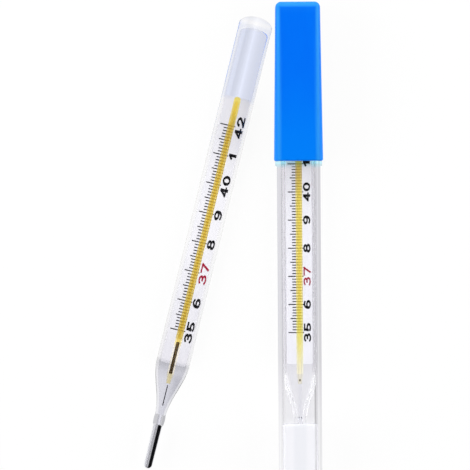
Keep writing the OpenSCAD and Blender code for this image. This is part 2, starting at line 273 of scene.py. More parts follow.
@dataclass(frozen=True)
class Placement:
    """Where a thermometer lies: the point of its bulb tip, its axis and its right-hand side, in the frame."""

    origin: Array
    axis: Array
    side: Array

    @classmethod
    def of(cls, bulb: str, joint: str) -> "Placement":
        """Reads a thermometer's place from its packed bulb and from the joint along its bore.

        Args:
            bulb: the node of its bulb, round about the axis, with the tip at its low end.
            joint: the joint that slides along the axis.

        Returns:
            The placement.
        """
        found = next(j for j in frame["joints"] if j["name"] == joint)
        axis = np.array(found["axis"], float) / np.linalg.norm(found["axis"])
        side = np.array([axis[1], -axis[0], 0.0])
        flat = cls(np.zeros(3), axis, side)
        low, high = flat.reach(bulb)
        middle = (low + high) / 2
        middle[1] = low[1]
        return cls(flat.lay(middle), axis, side)

    def lay(self, points: Array) -> Array:
        """Lays points in the frame: the tip plus each of the three distances times its direction.

        Args:
            points: points in across, along and front, in millimetres.

        Returns:
            The points in the frame, in metres.
        """
        local = np.asarray(points) * MM
        up = np.array([0.0, 0.0, 1.0])
        return self.origin + local[..., :1] * self.side + local[..., 1:2] * self.axis + local[..., 2:] * up

    def reach(self, node: str) -> tuple[Array, Array]:
        """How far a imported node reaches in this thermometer's own directions.

        Args:
            node: the node's name.

        Returns:
            Its least and greatest across, along and front, in millimetres.
        """
        mesh = frame["nodes"][node].data
        points = np.empty(3 * len(mesh.vertices))
        mesh.vertices.foreach_get("co", points)
        away = points.reshape(-1, 3) - self.origin
        local = np.column_stack([away @ self.side, away @ self.axis, away[:, 2]]) / MM
        return local.min(0), local.max(0)

    @property
    def lean(self) -> float:
        """Angle in plan from +Y to the axis, turning right, in radians."""
        return math.atan2(self.axis[0], self.axis[1])


@dataclass
class Nodes:
    """A node tree, with the few steps that the finishes and the surroundings are made of."""

    tree: bpy.types.NodeTree

    def node(self, kind: str, **values: object) -> bpy.types.Node:
        """Adds a node.

        Args:
            kind: the node's type.
            values: its properties by name.

        Returns:
            The node.
        """
        made = self.tree.nodes.new(kind)
        for name, value in values.items():
            setattr(made, name, value)
        return made

    def link(self, source: Socket, target: Socket) -> None:
        """Links one socket to another."""
        self.tree.links.new(source, target)

    def spread(self, source: Socket, old: Range, new: Range = (0.0, 1.0), clamp: bool = True) -> Socket:
        """Maps a range of values to another one.

        Args:
            source: the socket to read.
            old: the range that it has.
            new: the range wanted.
            clamp: whether the result stays in the new range.

        Returns:
            The socket with the mapped value.
        """
        mapped = self.node("ShaderNodeMapRange", clamp=clamp)
        for name, value in zip(("From Min", "From Max", "To Min", "To Max"), (*old, *new)):
            mapped.inputs[name].default_value = value
        self.link(source, mapped.inputs["Value"])
        return mapped.outputs["Result"]

    def ramp(self, source: Socket, stops: Stops) -> Socket:
        """Colours a value by a ramp.

        Args:
            source: the socket to read.
            stops: places on the ramp and their colours, in order.

        Returns:
            The socket with the colour.
        """
        ramp = self.node("ShaderNodeValToRGB")
        elements = ramp.color_ramp.elements
        while len(elements) < len(stops):
            elements.new(1.0)
        for element, (place, colour) in zip(elements, stops):
            element.position = place
            element.color = (*colour, 1.0)
        self.link(source, ramp.inputs["Fac"])
        return ramp.outputs["Color"]

    def mix(
        self, share: Socket | float, one: Socket | Colour, other: Socket | Colour, mode: str = "MIX"
    ) -> Socket:
        """Mixes two colours by a share.

        Args:
            share: the share of the other colour, a socket or a plain number.
            one, other: sockets or plain colours.
            mode: how they mix.

        Returns:
            The socket with the colour.
        """
        made = self.node("ShaderNodeMixRGB", blend_type=mode)
        for name, value in (("Fac", share), ("Color1", one), ("Color2", other)):
            if isinstance(value, Socket):
                self.link(value, made.inputs[name])
            else:
                made.inputs[name].default_value = (*value, 1.0) if isinstance(value, tuple) else value
        return made.outputs["Color"]

    def greater(self, one: Socket, other: Socket) -> Socket:
        """Takes the greater of two values.

        Args:
            one, other: the sockets to read.

        Returns:
            The socket with the greater value.
        """
        made = self.node("ShaderNodeMath", operation="MAXIMUM")
        for source, target in zip((one, other), made.inputs):
            self.link(source, target)
        return made.outputs["Value"]


class Shader(Nodes):
    """Node tree of one finish, with its Principled shader as surface."""

    def __init__(self, name: str, placement: Placement | None = None) -> None:
        """Starts a material.

        Args:
            name: the material's name.
            placement: the place of the thermometer that its patterns follow.
        """
        self.placement = placement
        self.material = bpy.data.materials.new(name)
        self.material.use_nodes = True
        super().__init__(self.material.node_tree)
        self.surface = self.tree.nodes["Principled BSDF"]

    def even(self, **values: object) -> None:
        """Sets surface sockets that are the same all over, named with _ for each space."""
        for name, value in values.items():
            self.surface.inputs[name.replace("_", " ")].default_value = value

    def feed(self, source: Socket, socket: str) -> None:
        """Links a socket into the surface."""
        self.link(source, self.surface.inputs[socket])

    def own(self, attribute: str) -> Socket:
        """Reads a value that the piece's mesh carries."""
        return self.node("ShaderNodeAttribute", attribute_name=attribute).outputs["Fac"]

    def facing(self) -> Socket:
        """How far the surface is turned from the line of sight, 0 to 1."""
        return self.node("ShaderNodeLayerWeight").outputs["Facing"]

    def tinted(self, colour: Socket, tint: Socket | Colour, share: Socket | float = 1.0) -> Socket:
        """Multiplies a colour by a tint, by a share."""
        return self.mix(share, colour, tint, "MULTIPLY")

    def grain(self, size: Range, detail: float = 2.0) -> Socket:
        """Noise of a given size across and along a piece.

        Args:
            size: size of a grain in millimetres, in plan and in height, and along the piece.
            detail: octaves of finer noise.

        Returns:
            The socket with the noise, about 0.5 on average.
        """
        across, along = size[0] * MM, size[1] * MM
        mapping = self.node("ShaderNodeMapping", vector_type="TEXTURE")
        mapping.inputs["Rotation"].default_value = (0.0, 0.0, -self.placement.lean)
        mapping.inputs["Scale"].default_value = (across, along, across)
        noise = self.node("ShaderNodeTexNoise")
        noise.inputs["Scale"].default_value = 1.0
        noise.inputs["Detail"].default_value = detail
        self.link(self.node("ShaderNodeTexCoord").outputs["Object"], mapping.inputs["Vector"])
        self.link(mapping.outputs["Vector"], noise.inputs["Vector"])
        return noise.outputs["Fac"]

    def way(self, direction: Array, start: float, stop: float, clamp: bool = True) -> Socket:
        """Share of the way between two places of the thermometer.

        Args:
            direction: its axis, or its side for places across it.
            start, stop: places where the share is 0 and 1, in millimetres from its tip.
            clamp: whether the share stays between 0 and 1.

        Returns:
            The socket with the share.
        """
        dot = self.node("ShaderNodeVectorMath", operation="DOT_PRODUCT")
        dot.inputs[1].default_value = tuple(direction)
        self.link(self.node("ShaderNodeTexCoord").outputs["Object"], dot.inputs[0])
        tip = float(self.placement.origin @ direction)
        return self.spread(dot.outputs["Value"], (tip + start * MM, tip + stop * MM), clamp=clamp)

    def up(self, start: float, stop: float, clamp: bool = True) -> Socket:
        """Share of the way between two places along the thermometer."""
        return self.way(self.placement.axis, start, stop, clamp)

    def across(self, start: float, stop: float) -> Socket:
        """Share of the way between two places across the thermometer."""
        return self.way(self.placement.side, start, stop)

    def rough(self, source: Socket, new: Range, old: Range = (0.3, 0.8)) -> None:
        """Varies the roughness with a noise."""
        self.feed(self.spread(source, old, new), "Roughness")

    def relief(self, height: Socket, depth: float, strength: float) -> None:
        """Bumps the surface by a height.

        Args:
            height: the socket with the height, 0 to 1.
            depth: what a height of 1 stands for, in millimetres.
            strength: share of the bump that shows.
        """
        bump = self.node("ShaderNodeBump")
        bump.inputs["Distance"].default_value = depth * MM
        bump.inputs["Strength"].default_value = strength
        self.link(height, bump.inputs["Height"])
        self.feed(bump.outputs["Normal"], "Normal")


@dataclass(frozen=True)
class Glass:
    """Drawn glass: tints along its length, deeper rims, streaks along the draw and a little haze, with
    painted highlights and painted shade where they are set.
    """

    name: str
    bands: Bands
    rim: Colour = (0.92, 0.92, 0.93)
    streak: Colour = (0.98, 0.98, 0.99)
    draw: Range = (0.9, 30.0)
    smudge: Range = (6.0, 9.0)
    index: float = 1.15
    glint: Colour = WHITE
    turned_from: float = 0.4
    turned_to: float = 0.85
    haze: float = 0.02
    ripple: float = 0.05
    sheen: float = 0.0
    # painted highlights and painted shade lines, as levels across the piece
    lines: Levels = ()
    lines_from: float = 0.0
    lines_reach: float = 9.0
    # painted highlights: over these places along the piece its rims turn from clear glass to white
    milky: Levels = ()
    milky_turn: Range = (0.15, 0.6)
    # painted shade on the right of the piece, below a place along it
    shade: Colour = WHITE
    shade_below: float = 0.0
    shade_reach: float = 2.0

    @staticmethod
    def banded(shader: Shader, start: float, bands: Bands) -> Socket:
        """Tint that changes along a thermometer.

        Args:
            shader: the material's nodes.
            start: where along it, in millimetres, the places of the bands count from.
            bands: places along it and their tints.

        Returns:
            The socket with the tint.
        """
        first, last = bands[0][0], bands[-1][0]
        stops = [((place - first) / (last - first), tint) for place, tint in bands]
        return shader.ramp(shader.up(start + first, start + last), stops)

    def body(self, shader: Shader, start: float) -> Socket:
        """Tint of the glass where it faces the reader."""
        return self.banded(shader, start, self.bands)

    def flow(self, shader: Shader) -> Socket:
        """Painted highlights and painted shade lines along the piece, paler and deeper by their place across,
        from a place along it upwards.

        Args:
            shader: the material's nodes.

        Returns:
            The socket with the tint.
        """
        reach = self.lines_reach
        stops = [(0.5 + place / (2 * reach), grey(depth)) for place, depth in self.lines]
        lines = shader.ramp(shader.across(-reach, reach), stops)
        return shader.mix(shader.up(self.lines_from - 1, self.lines_from), WHITE, lines)

    def slope(self, shader: Shader) -> Socket:
        """Painted shade that deepens towards the right, below a place along the piece."""
        right = shader.ramp(shader.across(0.0, self.shade_reach), [(0.0, WHITE), (1.0, self.shade)])
        return shader.mix(shader.up(self.shade_below - self.shade_reach, self.shade_below), right, WHITE)

    def made(self, placement: Placement, start: float = 0.0) -> Material:
        """Builds the material.

        Args:
            placement: the place of the thermometer that the piece belongs to.
            start: where along it, in millimetres, the places of the bands count from.

        Returns:
            The material.
        """
        shader = Shader(self.name, placement)
        shader.even(IOR=self.index, Specular_Tint=(*self.glint, 1.0), Transmission_Weight=1.0)
        shader.even(Sheen_Weight=self.sheen, Sheen_Roughness=0.3)
        body = self.body(shader, start)
        # painted highlights and painted shade lines across the piece
        if self.lines:
            body = shader.tinted(body, self.flow(shader))
        # painted shade towards the right
        if self.shade_below:
            body = shader.tinted(body, self.slope(shader))
        draw = shader.grain(self.draw)
        body = shader.tinted(body, shader.ramp(draw, [(0.3, WHITE), (0.7, self.streak)]))
        facing = shader.facing()
        rim = shader.ramp(facing, [(self.turned_from, WHITE), (self.turned_to, self.rim)])
        shader.feed(shader.tinted(body, rim), "Base Color")
        # painted highlights: white rims over the places set
        if self.milky:
            edges = shader.ramp(facing, list(zip(self.milky_turn, (WHITE, BLACK))))
            bands = tuple((place, grey(share)) for place, share in self.milky)
            where = self.banded(shader, start, bands)
            shader.feed(shader.mix(where, WHITE, edges), "Transmission Weight")
        shader.rough(shader.grain(self.smudge, 4.0), (0.4 * self.haze, self.haze), (0.35, 0.75))
        shader.relief(draw, 0.02, self.ripple)
        return shader.material


@dataclass(frozen=True)
class WalledGlass(Glass):
    """Clear moulding with side walls painted deeper in tint than its faces, a painted shade for how they look
    edge on.
    """

    walls: Bands = ()
    wall_in: float = 4.5

    def body(self, shader: Shader, start: float) -> Socket:
        """Tint of the faces, and the painted shade of the walls beyond a distance across.

        Args:
            shader: the material's nodes.
            start: where along the thermometer inside the places of the bands count from.

        Returns:
            The socket with the tint.
        """
        across = shader.across(-2 * self.wall_in, 2 * self.wall_in)
        outer = shader.ramp(across, [(0.24, WHITE), (0.26, BLACK), (0.74, BLACK), (0.76, WHITE)])
        face, wall = (self.banded(shader, start, bands) for bands in (self.bands, self.walls))
        return shader.mix(outer, face, wall)


@dataclass(frozen=True)
class Amber:
    """Amber strip fused behind the bore, clearer at its foot, with places as shares of its length."""

    name: str
    foot: Colour
    low: Colour
    middle: Colour
    head: Colour
    foot_share: float
    low_share: float
    head_share: float
    low_fade: float = 0.08
    head_fade: float = 0.085
    tick: Colour = (0.64, 0.58, 0.42)
    cloud: Colour = (0.90, 0.82, 0.70)

    def ticks(self, shader: Shader, marks: Marks) -> Socket:
        """Graduation that shows faintly through the strip.

        Args:
            shader: the material's nodes.
            marks: the first mark, the step between marks and the last mark, in millimetres from the tip.

        Returns:
            The socket with the tint, white between the marks and beyond them.
        """
        first, step, last = marks
        start, stop = first - step / 2, last + step / 2
        beat = shader.node("ShaderNodeMath", operation="FRACT")
        shader.link(shader.up(start, start + step, clamp=False), beat.inputs[0])
        stroke = [(0.26, WHITE), (0.36, self.tick), (0.64, self.tick), (0.74, WHITE)]
        tint = shader.ramp(beat.outputs["Value"], stroke)
        scale = [(0.0, BLACK), (0.002, WHITE), (0.998, WHITE), (1.0, BLACK)]
        return shader.mix(shader.ramp(shader.up(start, stop), scale), WHITE, tint)

    def made(self, placement: Placement, span: Range, marks: Marks) -> Material:
        """Builds the material.

        Args:
            placement: the thermometer's place.
            span: where the strip starts and ends along it, in millimetres.
            marks: the first mark, the step between marks and the last mark, in millimetres from the tip.

        Returns:
            The material.
        """
        shader = Shader(self.name, placement)
        shader.even(Specular_IOR_Level=0.1)
        stops = [
            (self.foot_share, self.foot),
            (self.low_share, self.low),
            (self.low_share + self.low_fade, self.middle),
            (self.head_share - self.head_fade, self.middle),
            (self.head_share, self.head),
        ]
        colour = shader.ramp(shader.up(*span), stops)
        cloud = shader.grain((0.5, 2.5), 3.0)
        colour = shader.tinted(colour, self.cloud, shader.spread(cloud, (0.4, 0.8), (0.0, 0.35)))
        shader.feed(shader.tinted(colour, self.ticks(shader, marks)), "Base Color")
        shader.rough(cloud, (0.05, 0.2), (0.3, 0.7))
        return shader.material


@dataclass(frozen=True)
class Liquid:
    """Liquid metal behind glass, with painted reflections from left to right across it, under an uneven film.
    """

    name: str
    stripes: Stops
    metal: float
    gloss: float
    grain: Range
    film: Colour
    cover: float
    rough: Range

    @classmethod
    def in_bulb(cls, name: str, bright: Colour, shade: Colour, dark: Colour, edge: float) -> "Liquid":
        """Mercury in a bulb, with a painted reflection: bright on the left of an edge and dark on its right.

        Args:
            name: the finish's name.
            bright, shade, dark: its colours, those of the painted reflection.
            edge: place of the edge, -1 to 1.

        Returns:
            The finish.
        """
        share = (edge + 1) / 2
        # painted reflection: bright with a grey line left of the edge, dark right of it
        left = [(0.0, bright), (0.35 * share, bright), (0.64 * share, shade), (0.85 * share, bright)]
        right = [(share + 0.03, dark), (0.96, dark), (1.0, shade)]
        return cls(
            name, left + right, metal=0.25, gloss=0.05, grain=(0.15, 6.0), film=(0.72, 0.72, 0.75),
            cover=0.35, rough=(0.3, 0.45),
        )

    @classmethod
    def in_bore(cls, name: str, deep: Colour, line: Colour) -> "Liquid":
        """Mercury in a bore, with a painted amber-brown reflection and fine painted highlight lines along it.

        Args:
            name: the finish's name.
            deep, line: its painted brown reflection, and the colour of the painted highlight lines.

        Returns:
            The finish.
        """
        # painted highlight lines across the column
        places = (0.0, 0.28, 0.40, 0.52, 0.62, 0.74, 1.0)
        stripes = list(zip(places, (deep, deep, line, deep, line, deep, line)))
        return cls(
            name, stripes, metal=0.6, gloss=0.5, grain=(0.12, 3.0), film=(0.6, 0.58, 0.55),
            cover=0.5, rough=(0.2, 0.4),
        )

    def made(self, placement: Placement) -> Material:
        """Builds the material for a piece whose mesh carries its place across as -1 to 1.

        Args:
            placement: the thermometer's place.

        Returns:
            The material.
        """
        shader = Shader(self.name, placement)
        shader.even(Metallic=self.metal, Specular_IOR_Level=self.gloss)
        colour = shader.ramp(shader.spread(shader.own("across"), (-1.0, 1.0)), self.stripes)
        film = shader.grain(self.grain, 3.0)
        cover = shader.spread(film, (0.4, 0.8), (0.0, self.cover))
        shader.feed(shader.tinted(colour, self.film, cover), "Base Color")
        shader.rough(film, self.rough)
        return shader.material


@dataclass(frozen=True)
class Ink:
    """Fired-on ink, a little uneven in its cover."""

    name: str
    colour: Colour
    thin: Colour
    grain: Range = (0.25, 0.25)
    detail: float = 4.0
    thin_at: float = 0.8
    gloss: float = 0.1
    rough: Range = (0.45, 0.7)

    def made(self, placement: Placement) -> Material:
        """Builds the material.

        Args:
            placement: the thermometer's place.

        Returns:
            The material.
        """
        shader = Shader(self.name, placement)
        shader.even(Specular_IOR_Level=self.gloss)
        cover = shader.grain(self.grain, self.detail)
        shader.feed(shader.ramp(cover, [(0.35, self.colour), (self.thin_at, self.thin)]), "Base Color")
        shader.rough(cover, self.rough)
        return shader.material


@dataclass(frozen=True)
class Opal(Ink):
    """White opal plate, faintly clouded."""

    grain: Range = (1.6, 5.0)
    detail: float = 3.0
    thin_at: float = 0.7
    gloss: float = 0.35
    rough: Range = (0.3, 0.5)


@dataclass(frozen=True)
class Moulded:
    """Moulded cap plastic: a deep colour with painted highlights and painted shade on its rounded rims, paler
    to its mouth, with a satin skin.
    """

    name: str
    face: Colour
    # painted highlight colour of the rounded rims
    edge: Colour
    mottle: Colour
    mouth: Colour

    def made(self, placement: Placement) -> Material:
        """Builds the material for a piece whose mesh carries its painted edge light and shade and the way to
        its mouth, 0 to 1.

        Args:
            placement: the place of the thermometer inside.

        Returns:
            The material.
        """
        shader = Shader(self.name, placement)
        shader.even(IOR=1.5, Specular_IOR_Level=0.1)
        flow = shader.grain((3.0, 16.0), 3.0)
        face = shader.ramp(flow, [(0.35, self.face), (0.75, self.mottle)])
        face = shader.mix(shader.own("mouth"), face, self.mouth)
        # painted highlights and painted shade on the rims, by the mesh's edge values
        shader.feed(shader.mix(shader.own("edge"), face, self.edge), "Base Color")
        skin = shader.grain((0.12, 0.12), 4.0)
        shader.rough(skin, (0.3, 0.42))
        shader.relief(skin, 0.01, 0.15)
        return shader.material


@dataclass(frozen=True)
class Soft:
    """Soft white cushion, milk white and fine in grain, with painted shade where the bulb shows through and
    painted shade on its turned sides.
    """

    name: str
    white: Colour
    milk: Colour
    core: Colour
    turned_off: Colour = (0.72, 0.72, 0.74)

    def made(self, placement: Placement, core_radius: float) -> Material:
        """Builds the material.

        Args:
            placement: the place of the thermometer whose bulb the cushion holds.
            core_radius: radius of the bulb's room, in millimetres.

        Returns:
            The material.
        """
        shader = Shader(self.name, placement)
        shader.even(Specular_IOR_Level=0.15)
        grain = shader.grain((0.5, 0.5), 5.0)
        body = shader.ramp(grain, [(0.3, self.white), (0.75, self.milk)])
        # painted shade of the bulb down the middle
        across = shader.across(-2 * core_radius, 2 * core_radius)
        core = shader.ramp(across, [(0.2, BLACK), (0.32, WHITE), (0.68, WHITE), (0.8, BLACK)])
        body = shader.mix(core, body, self.core)
        # painted shade on the sides turned from sight
        turned_off = shader.ramp(shader.facing(), [(0.2, WHITE), (0.7, self.turned_off)])
        shader.feed(shader.tinted(body, turned_off), "Base Color")
        shader.rough(grain, (0.6, 0.85))
        shader.relief(grain, 0.05, 0.1)
        return shader.material


class Sight(Enum):
    """Whether a piece throws a shadow, and whether it throws its colour on its neighbours."""

    SOLID = (True, True)
    CLEAR = (False, False)
    MUTED = (True, False)

    def show(self, made: Object) -> None:
        """Sets it on an object."""
        made.visible_shadow, made.visible_diffuse = self.value


@dataclass
class Piece:
    """One finished mesh on its body, with the node that it stands for."""

    name: str
    skin: Skin
    material: Material
    slot: str
    replaces: tuple[str, ...] = ()
    sight: Sight = Sight.SOLID
    smooth: bool = True

    def mesh(self, placement: Placement, values: dict[str, Array] | None = None) -> Object:
        """Puts the surface into the scene.

        Args:
            placement: where its points lie.
            values: values for the mesh to carry, one to a point, by name.

        Returns:
            The object, at the origin, with its place in its mesh.
        """
        mesh = bpy.data.meshes.new(self.name)
        faces = self.skin.quads.tolist() + self.skin.fans.tolist()
        mesh.from_pydata(placement.lay(self.skin.points).tolist(), [], faces)
        mesh.polygons.foreach_set("use_smooth", np.full(len(faces), self.smooth))
        for name, value in (values or {}).items():
            attribute = mesh.attributes.new(name, "FLOAT", "POINT")
            attribute.data.foreach_set("value", np.asarray(value, np.float32))
        mesh.materials.append(self.material)
        made = bpy.data.objects.new(self.name, mesh)
        bpy.context.scene.collection.objects.link(made)
        self.sight.show(made)
        if self.replaces:
            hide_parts(*self.replaces)
        LOG.info("%s: %d faces", self.name, len(faces))
        return made

    def on(self, body: str, placement: Placement, values: dict[str, Array] | None = None) -> None:
        """Puts the surface into the scene, riding on a body."""
        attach(self.mesh(placement, values), body)


@dataclass(frozen=True)
class Pen:
    """Numerals drawn with a broad pen, thick in the stems and thin in the bars, in millimetres."""

    height: float
    width: float
    narrow: float
    stem: float
    bar: float
    gap: float
    step: float = 0.003

    @staticmethod
    def strokes(digit: str) -> list[Array]:
        """Centre lines of a numeral in a unit square: straight lines and elliptic arcs.

        Args:
            digit: the numeral.

        Returns:
            Its strokes, each n by 2.
        """
        bowl = arc((0.5, 0.285), (0.5, 0.285), 0, 360, 33)
        rise = arc((0.54, 0.45), (0.54, 0.55), 195, 90, 15)
        six = [bowl, np.vstack([rise, arc((0.54, 0.78), (0.42, 0.22), 80, 45, 5)])]
        bend = arc((0.5, 0.69), (0.47, 0.31), 172, -38, 23)
        upper = arc((0.46, 0.755), (0.44, 0.245), 146, -90, 23)
        lower = arc((0.46, 0.265), (0.52, 0.265), 90, -140, 25)
        belly = arc((0.46, 0.275), (0.54, 0.275), 125, -128, 27)
        lines = {
            "0": [arc((0.5, 0.5), (0.5, 0.5), 0, 360, 41)],
            "1": [polyline((0.9, 0), (0.9, 1)), polyline((0.1, 0.66), (0.8, 0.94))],
            "2": [np.vstack([bend, (0.04, 0.02)]), polyline((0, 0), (1, 0))],
            "3": [upper, lower],
            "4": [
                polyline((0.72, 0), (0.72, 1)),
                polyline((0.62, 0.92), (0.06, 0.34)),
                polyline((0, 0.26), (1, 0.26)),
            ],
            "5": [
                polyline((0.16, 1), (0.93, 1)),
                polyline((0.18, 1), (0.10, 0.42)),
                np.vstack([(0.10, 0.42), belly]),
            ],
            "6": six,
            "7": [polyline((0, 1), (1, 1)), polyline((0.98, 0.98), (0.38, 0))],
            "8": [arc((0.5, 0.765), (0.43, 0.235), 0, 360, 33), arc((0.5, 0.265), (0.5, 0.265), 0, 360, 33)],
            "9": [1 - stroke for stroke in six],
        }
        return lines[digit]

    def ribbon(self, line: Array, low: float, high: float) -> Skin:
        """Carries a flat pen's section along a line: each point moves half a stroke to either side.

        A line that meets its own start closes into a ring. Any other gets half a stroke more at both ends.

        Args:
            line: the centre line, n by 2, in the direction of the text and up.
            low, high: depth of the ink's back and front.

        Returns:
            The stroke, with across for the line's first value and front for its depth.
        """
        half = np.array([self.stem, self.bar]) / 2
        ring = np.allclose(line[0], line[-1])
        if ring:
            line = line[:-1]
            ahead = np.roll(line, -1, axis=0) - np.roll(line, 1, axis=0)
        else:
            ahead = np.gradient(line, axis=0)
        ahead /= np.linalg.norm(ahead, axis=1, keepdims=True)
        if not ring:
            line = line.copy()
            line[0] -= ahead[0] * np.linalg.norm(ahead[0] * half)
            line[-1] += ahead[-1] * np.linalg.norm(ahead[-1] * half)
        normal = np.column_stack([-ahead[:, 1], ahead[:, 0]])
        left, right = line + normal * half, line - normal * half
        corners = [(left, low), (right, low), (right, high), (left, high)]
        section = [np.column_stack([edge, np.full(len(line), depth)]) for edge, depth in corners]
        return Skin.over(np.stack(section, axis=1), joined=ring)

    def written(self, text: str, centre: float, baseline: float, low: float, high: float) -> list[Skin]:
        """Writes a number along a scale, its top towards the bore and its middle at a mark.

        Args:
            text: the number.
            centre: place of its middle along the scale.
            baseline: place across of its foot.
            low, high: depth of the ink's back and front.

        Returns:
            The strokes.
        """
        widths = [self.narrow if digit == "1" else self.width for digit in text]
        start = centre - (sum(widths) + self.gap * (len(text) - 1)) / 2
        nib = np.array([self.stem, self.bar])
        made = []
        for digit, width in zip(text, widths):
            inner = np.array([width, self.height]) - nib
            for layer, line in enumerate(self.strokes(digit)):
                stroke = self.ribbon(nib / 2 + line * inner, low, high - layer * self.step)
                ahead, up, depth = stroke.points.T
                made.append(replace(stroke, points=np.column_stack([baseline - up, start + ahead, depth])))
            start += width + self.gap
        return made


@dataclass
class Thermometer:
    """One enclosed-scale thermometer, with its sizes in millimetres."""

    prefix: str
    column: str
    finishes: "Finishes"
    envelope_glass: Glass
    bar_glass: Glass
    bead_glass: Glass
    amber: Amber
    mercury: Liquid
    opal: Opal
    pen: Pen
    red_pen: Pen
    number_foot: float
    neck_width: float
    shoulder: float
    bore_fill: float = 1.0
    collar_end: float = 2.76
    wall: float = 0.7
    dome_height: float = 2.4
    dome_glass: float = 2.7
    hollow_dome_height: float = 2.0
    bulb_wall: float = 0.25
    bulb_roof: float = 0.12
    roof_wall: float = 0.08
    bulb_tip: float = 2.3
    throat_width: float = 1.0
    throat_bore: float = 0.3
    throat_clear: float = 0.1
    throat_lip: float = 0.04
    pinch_bore: float = 0.1
    pinch_height: float = 1.6
    pinch_funnel: float = 0.8
    lens_radius: float = 1.0
    bar_fillet: float = 0.1
    bar_lip: float = 0.03
    foot_wall: float = 0.12
    foot_length: float = 2.5
    head_glass: float = 1.2
    bore_width: float = 0.8
    bore_depth: float = 0.24
    mark_height: float = 0.26
    lowest: int = 35
    highest: int = 42
    red: int = 37
    ten: int = 40
    wetting: float = 0.01
    optical_gap: float = 0.015

    def __post_init__(self) -> None:
        """Reads the thermometer's place."""
        self.placement = Placement.of(self.node("bulb"), self.node("mercury_rise"))
        self.body = self.node("thermometer")
        LOG.info("%s tip at %s mm", self.prefix, np.round(self.placement.origin / MM, 3))

    def node(self, part: str) -> str:
        """Name of one of its own nodes, pieces, bodies or joints."""
        return f"{self.prefix}_{part}"

    def reach(self, part: str) -> tuple[Array, Array]:
        """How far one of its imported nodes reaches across, along and to the front."""
        return self.placement.reach(self.node(part))

    def dressed(self, part: str, material: Material) -> Object:
        """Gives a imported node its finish.

        Args:
            part: the node.
            material: the finish.

        Returns:
            The node's object.
        """
        found = frame["nodes"][self.node(part)]
        found.data.materials.clear()
        found.data.materials.append(material)
        LOG.info("%s: dressed", found.name)
        return found

    def glassware(
        self, name: str, skin: Skin, glass: Glass, part: str, slot: str = "clear_glass", start: float = 0.0
    ) -> None:
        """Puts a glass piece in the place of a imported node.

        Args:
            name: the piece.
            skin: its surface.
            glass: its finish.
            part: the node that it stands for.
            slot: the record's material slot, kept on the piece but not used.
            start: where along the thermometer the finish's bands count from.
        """
        material = glass.made(self.placement, start)
        piece = Piece(self.node(name), skin, material, slot, (self.node(part),), Sight.CLEAR)
        piece.on(self.body, self.placement)

    def envelope(self) -> None:
        """Oval tube: a profile turned about the axis and squeezed to the oval.

        The drawn neck follows the smooth step from the collar's width to full width, and both ends of the
        hollow and of the glass are quarter ellipses.
        """
        low, high = self.reach("envelope")
        half, oval = high[0], high[2] / high[0]
        neck = np.linspace(0, 1, 48)
        neck_along = low[1] + (self.shoulder - low[1]) * neck
        throat = (self.throat_width / 2 + self.throat_clear) / oval
        quarter = np.radians(np.linspace(0, 89.5, 28))
        body = np.linspace(self.shoulder, high[1] - self.dome_height, 24)[1:-1]

        def side(narrow: float, wide: float, top: float, height: float) -> Array:
            """Profile of one wall, from the neck's foot up to the middle of the dome.

            Args:
                narrow, wide: half width at the foot and above the neck.
                top, height: top and height of the dome.

            Returns:
                Radius and place of each ring, n by 2.
            """
            drawn = np.column_stack([narrow + (wide - narrow) * ease(neck), neck_along])
            tube = np.column_stack([np.full(len(body), wide), body])
            dome = np.column_stack([wide * np.cos(quarter), top - height + height * np.sin(quarter)])
            return np.vstack([drawn, tube, dome])

        inside = side(throat, half - self.wall, high[1] - self.dome_glass, self.hollow_dome_height)
        outside = side(self.neck_width / 2, half, high[1], self.dome_height)
        skin = Skin.over(turned(np.vstack([inside[::-1], outside]), oval, 192))
        self.glassware("glass_envelope", skin, self.envelope_glass, "envelope")

    def bar_outline(self, half_width: float, count: int) -> Array:
        """Section of the capillary bar: a lens arc in front, straight sides and a flat back.

        Args:
            half_width: half its width.
            count: points to the section.

        Returns:
            The outline in across and front, count by 2, starting at the right side.
        """
        low, high = self.reach("capillary")
        lens_centre = (0, high[2] - self.lens_radius)
        open_angle = math.degrees(math.acos(half_width / self.lens_radius))
        lens = arc(lens_centre, (self.lens_radius,) * 2, open_angle, 180 - open_angle, 33)
        fillet = min(self.bar_fillet, half_width / 2)
        inner = half_width - fillet
        back = low[2] + self.optical_gap + fillet
        left = arc((-inner, back), (fillet, fillet), 180, 270, 6)
        right = arc((inner, back), (fillet, fillet), 270, 360, 6)
        return evenly_along(np.vstack([lens, left, right]), count)

    def bore_outline(self, inset: float, count: int) -> Array:
        """Ribbon section of the bore: a rectangle between two half circles.

        Args:
            inset: how much smaller it is all round.
            count: points to the section.

        Returns:
            The outline in across and front, count by 2, starting near the right end.
        """
        radius = self.bore_depth / 2 - inset
        flat = (self.bore_width - self.bore_depth) / 2
        right = arc((flat, 0), (radius, radius), -90, 90, 15)
        left = arc((-flat, 0), (radius, radius), 90, 270, 15)
        near_right = 11
        return evenly_along(np.roll(np.vstack([right, left]), -near_right, axis=0), count)

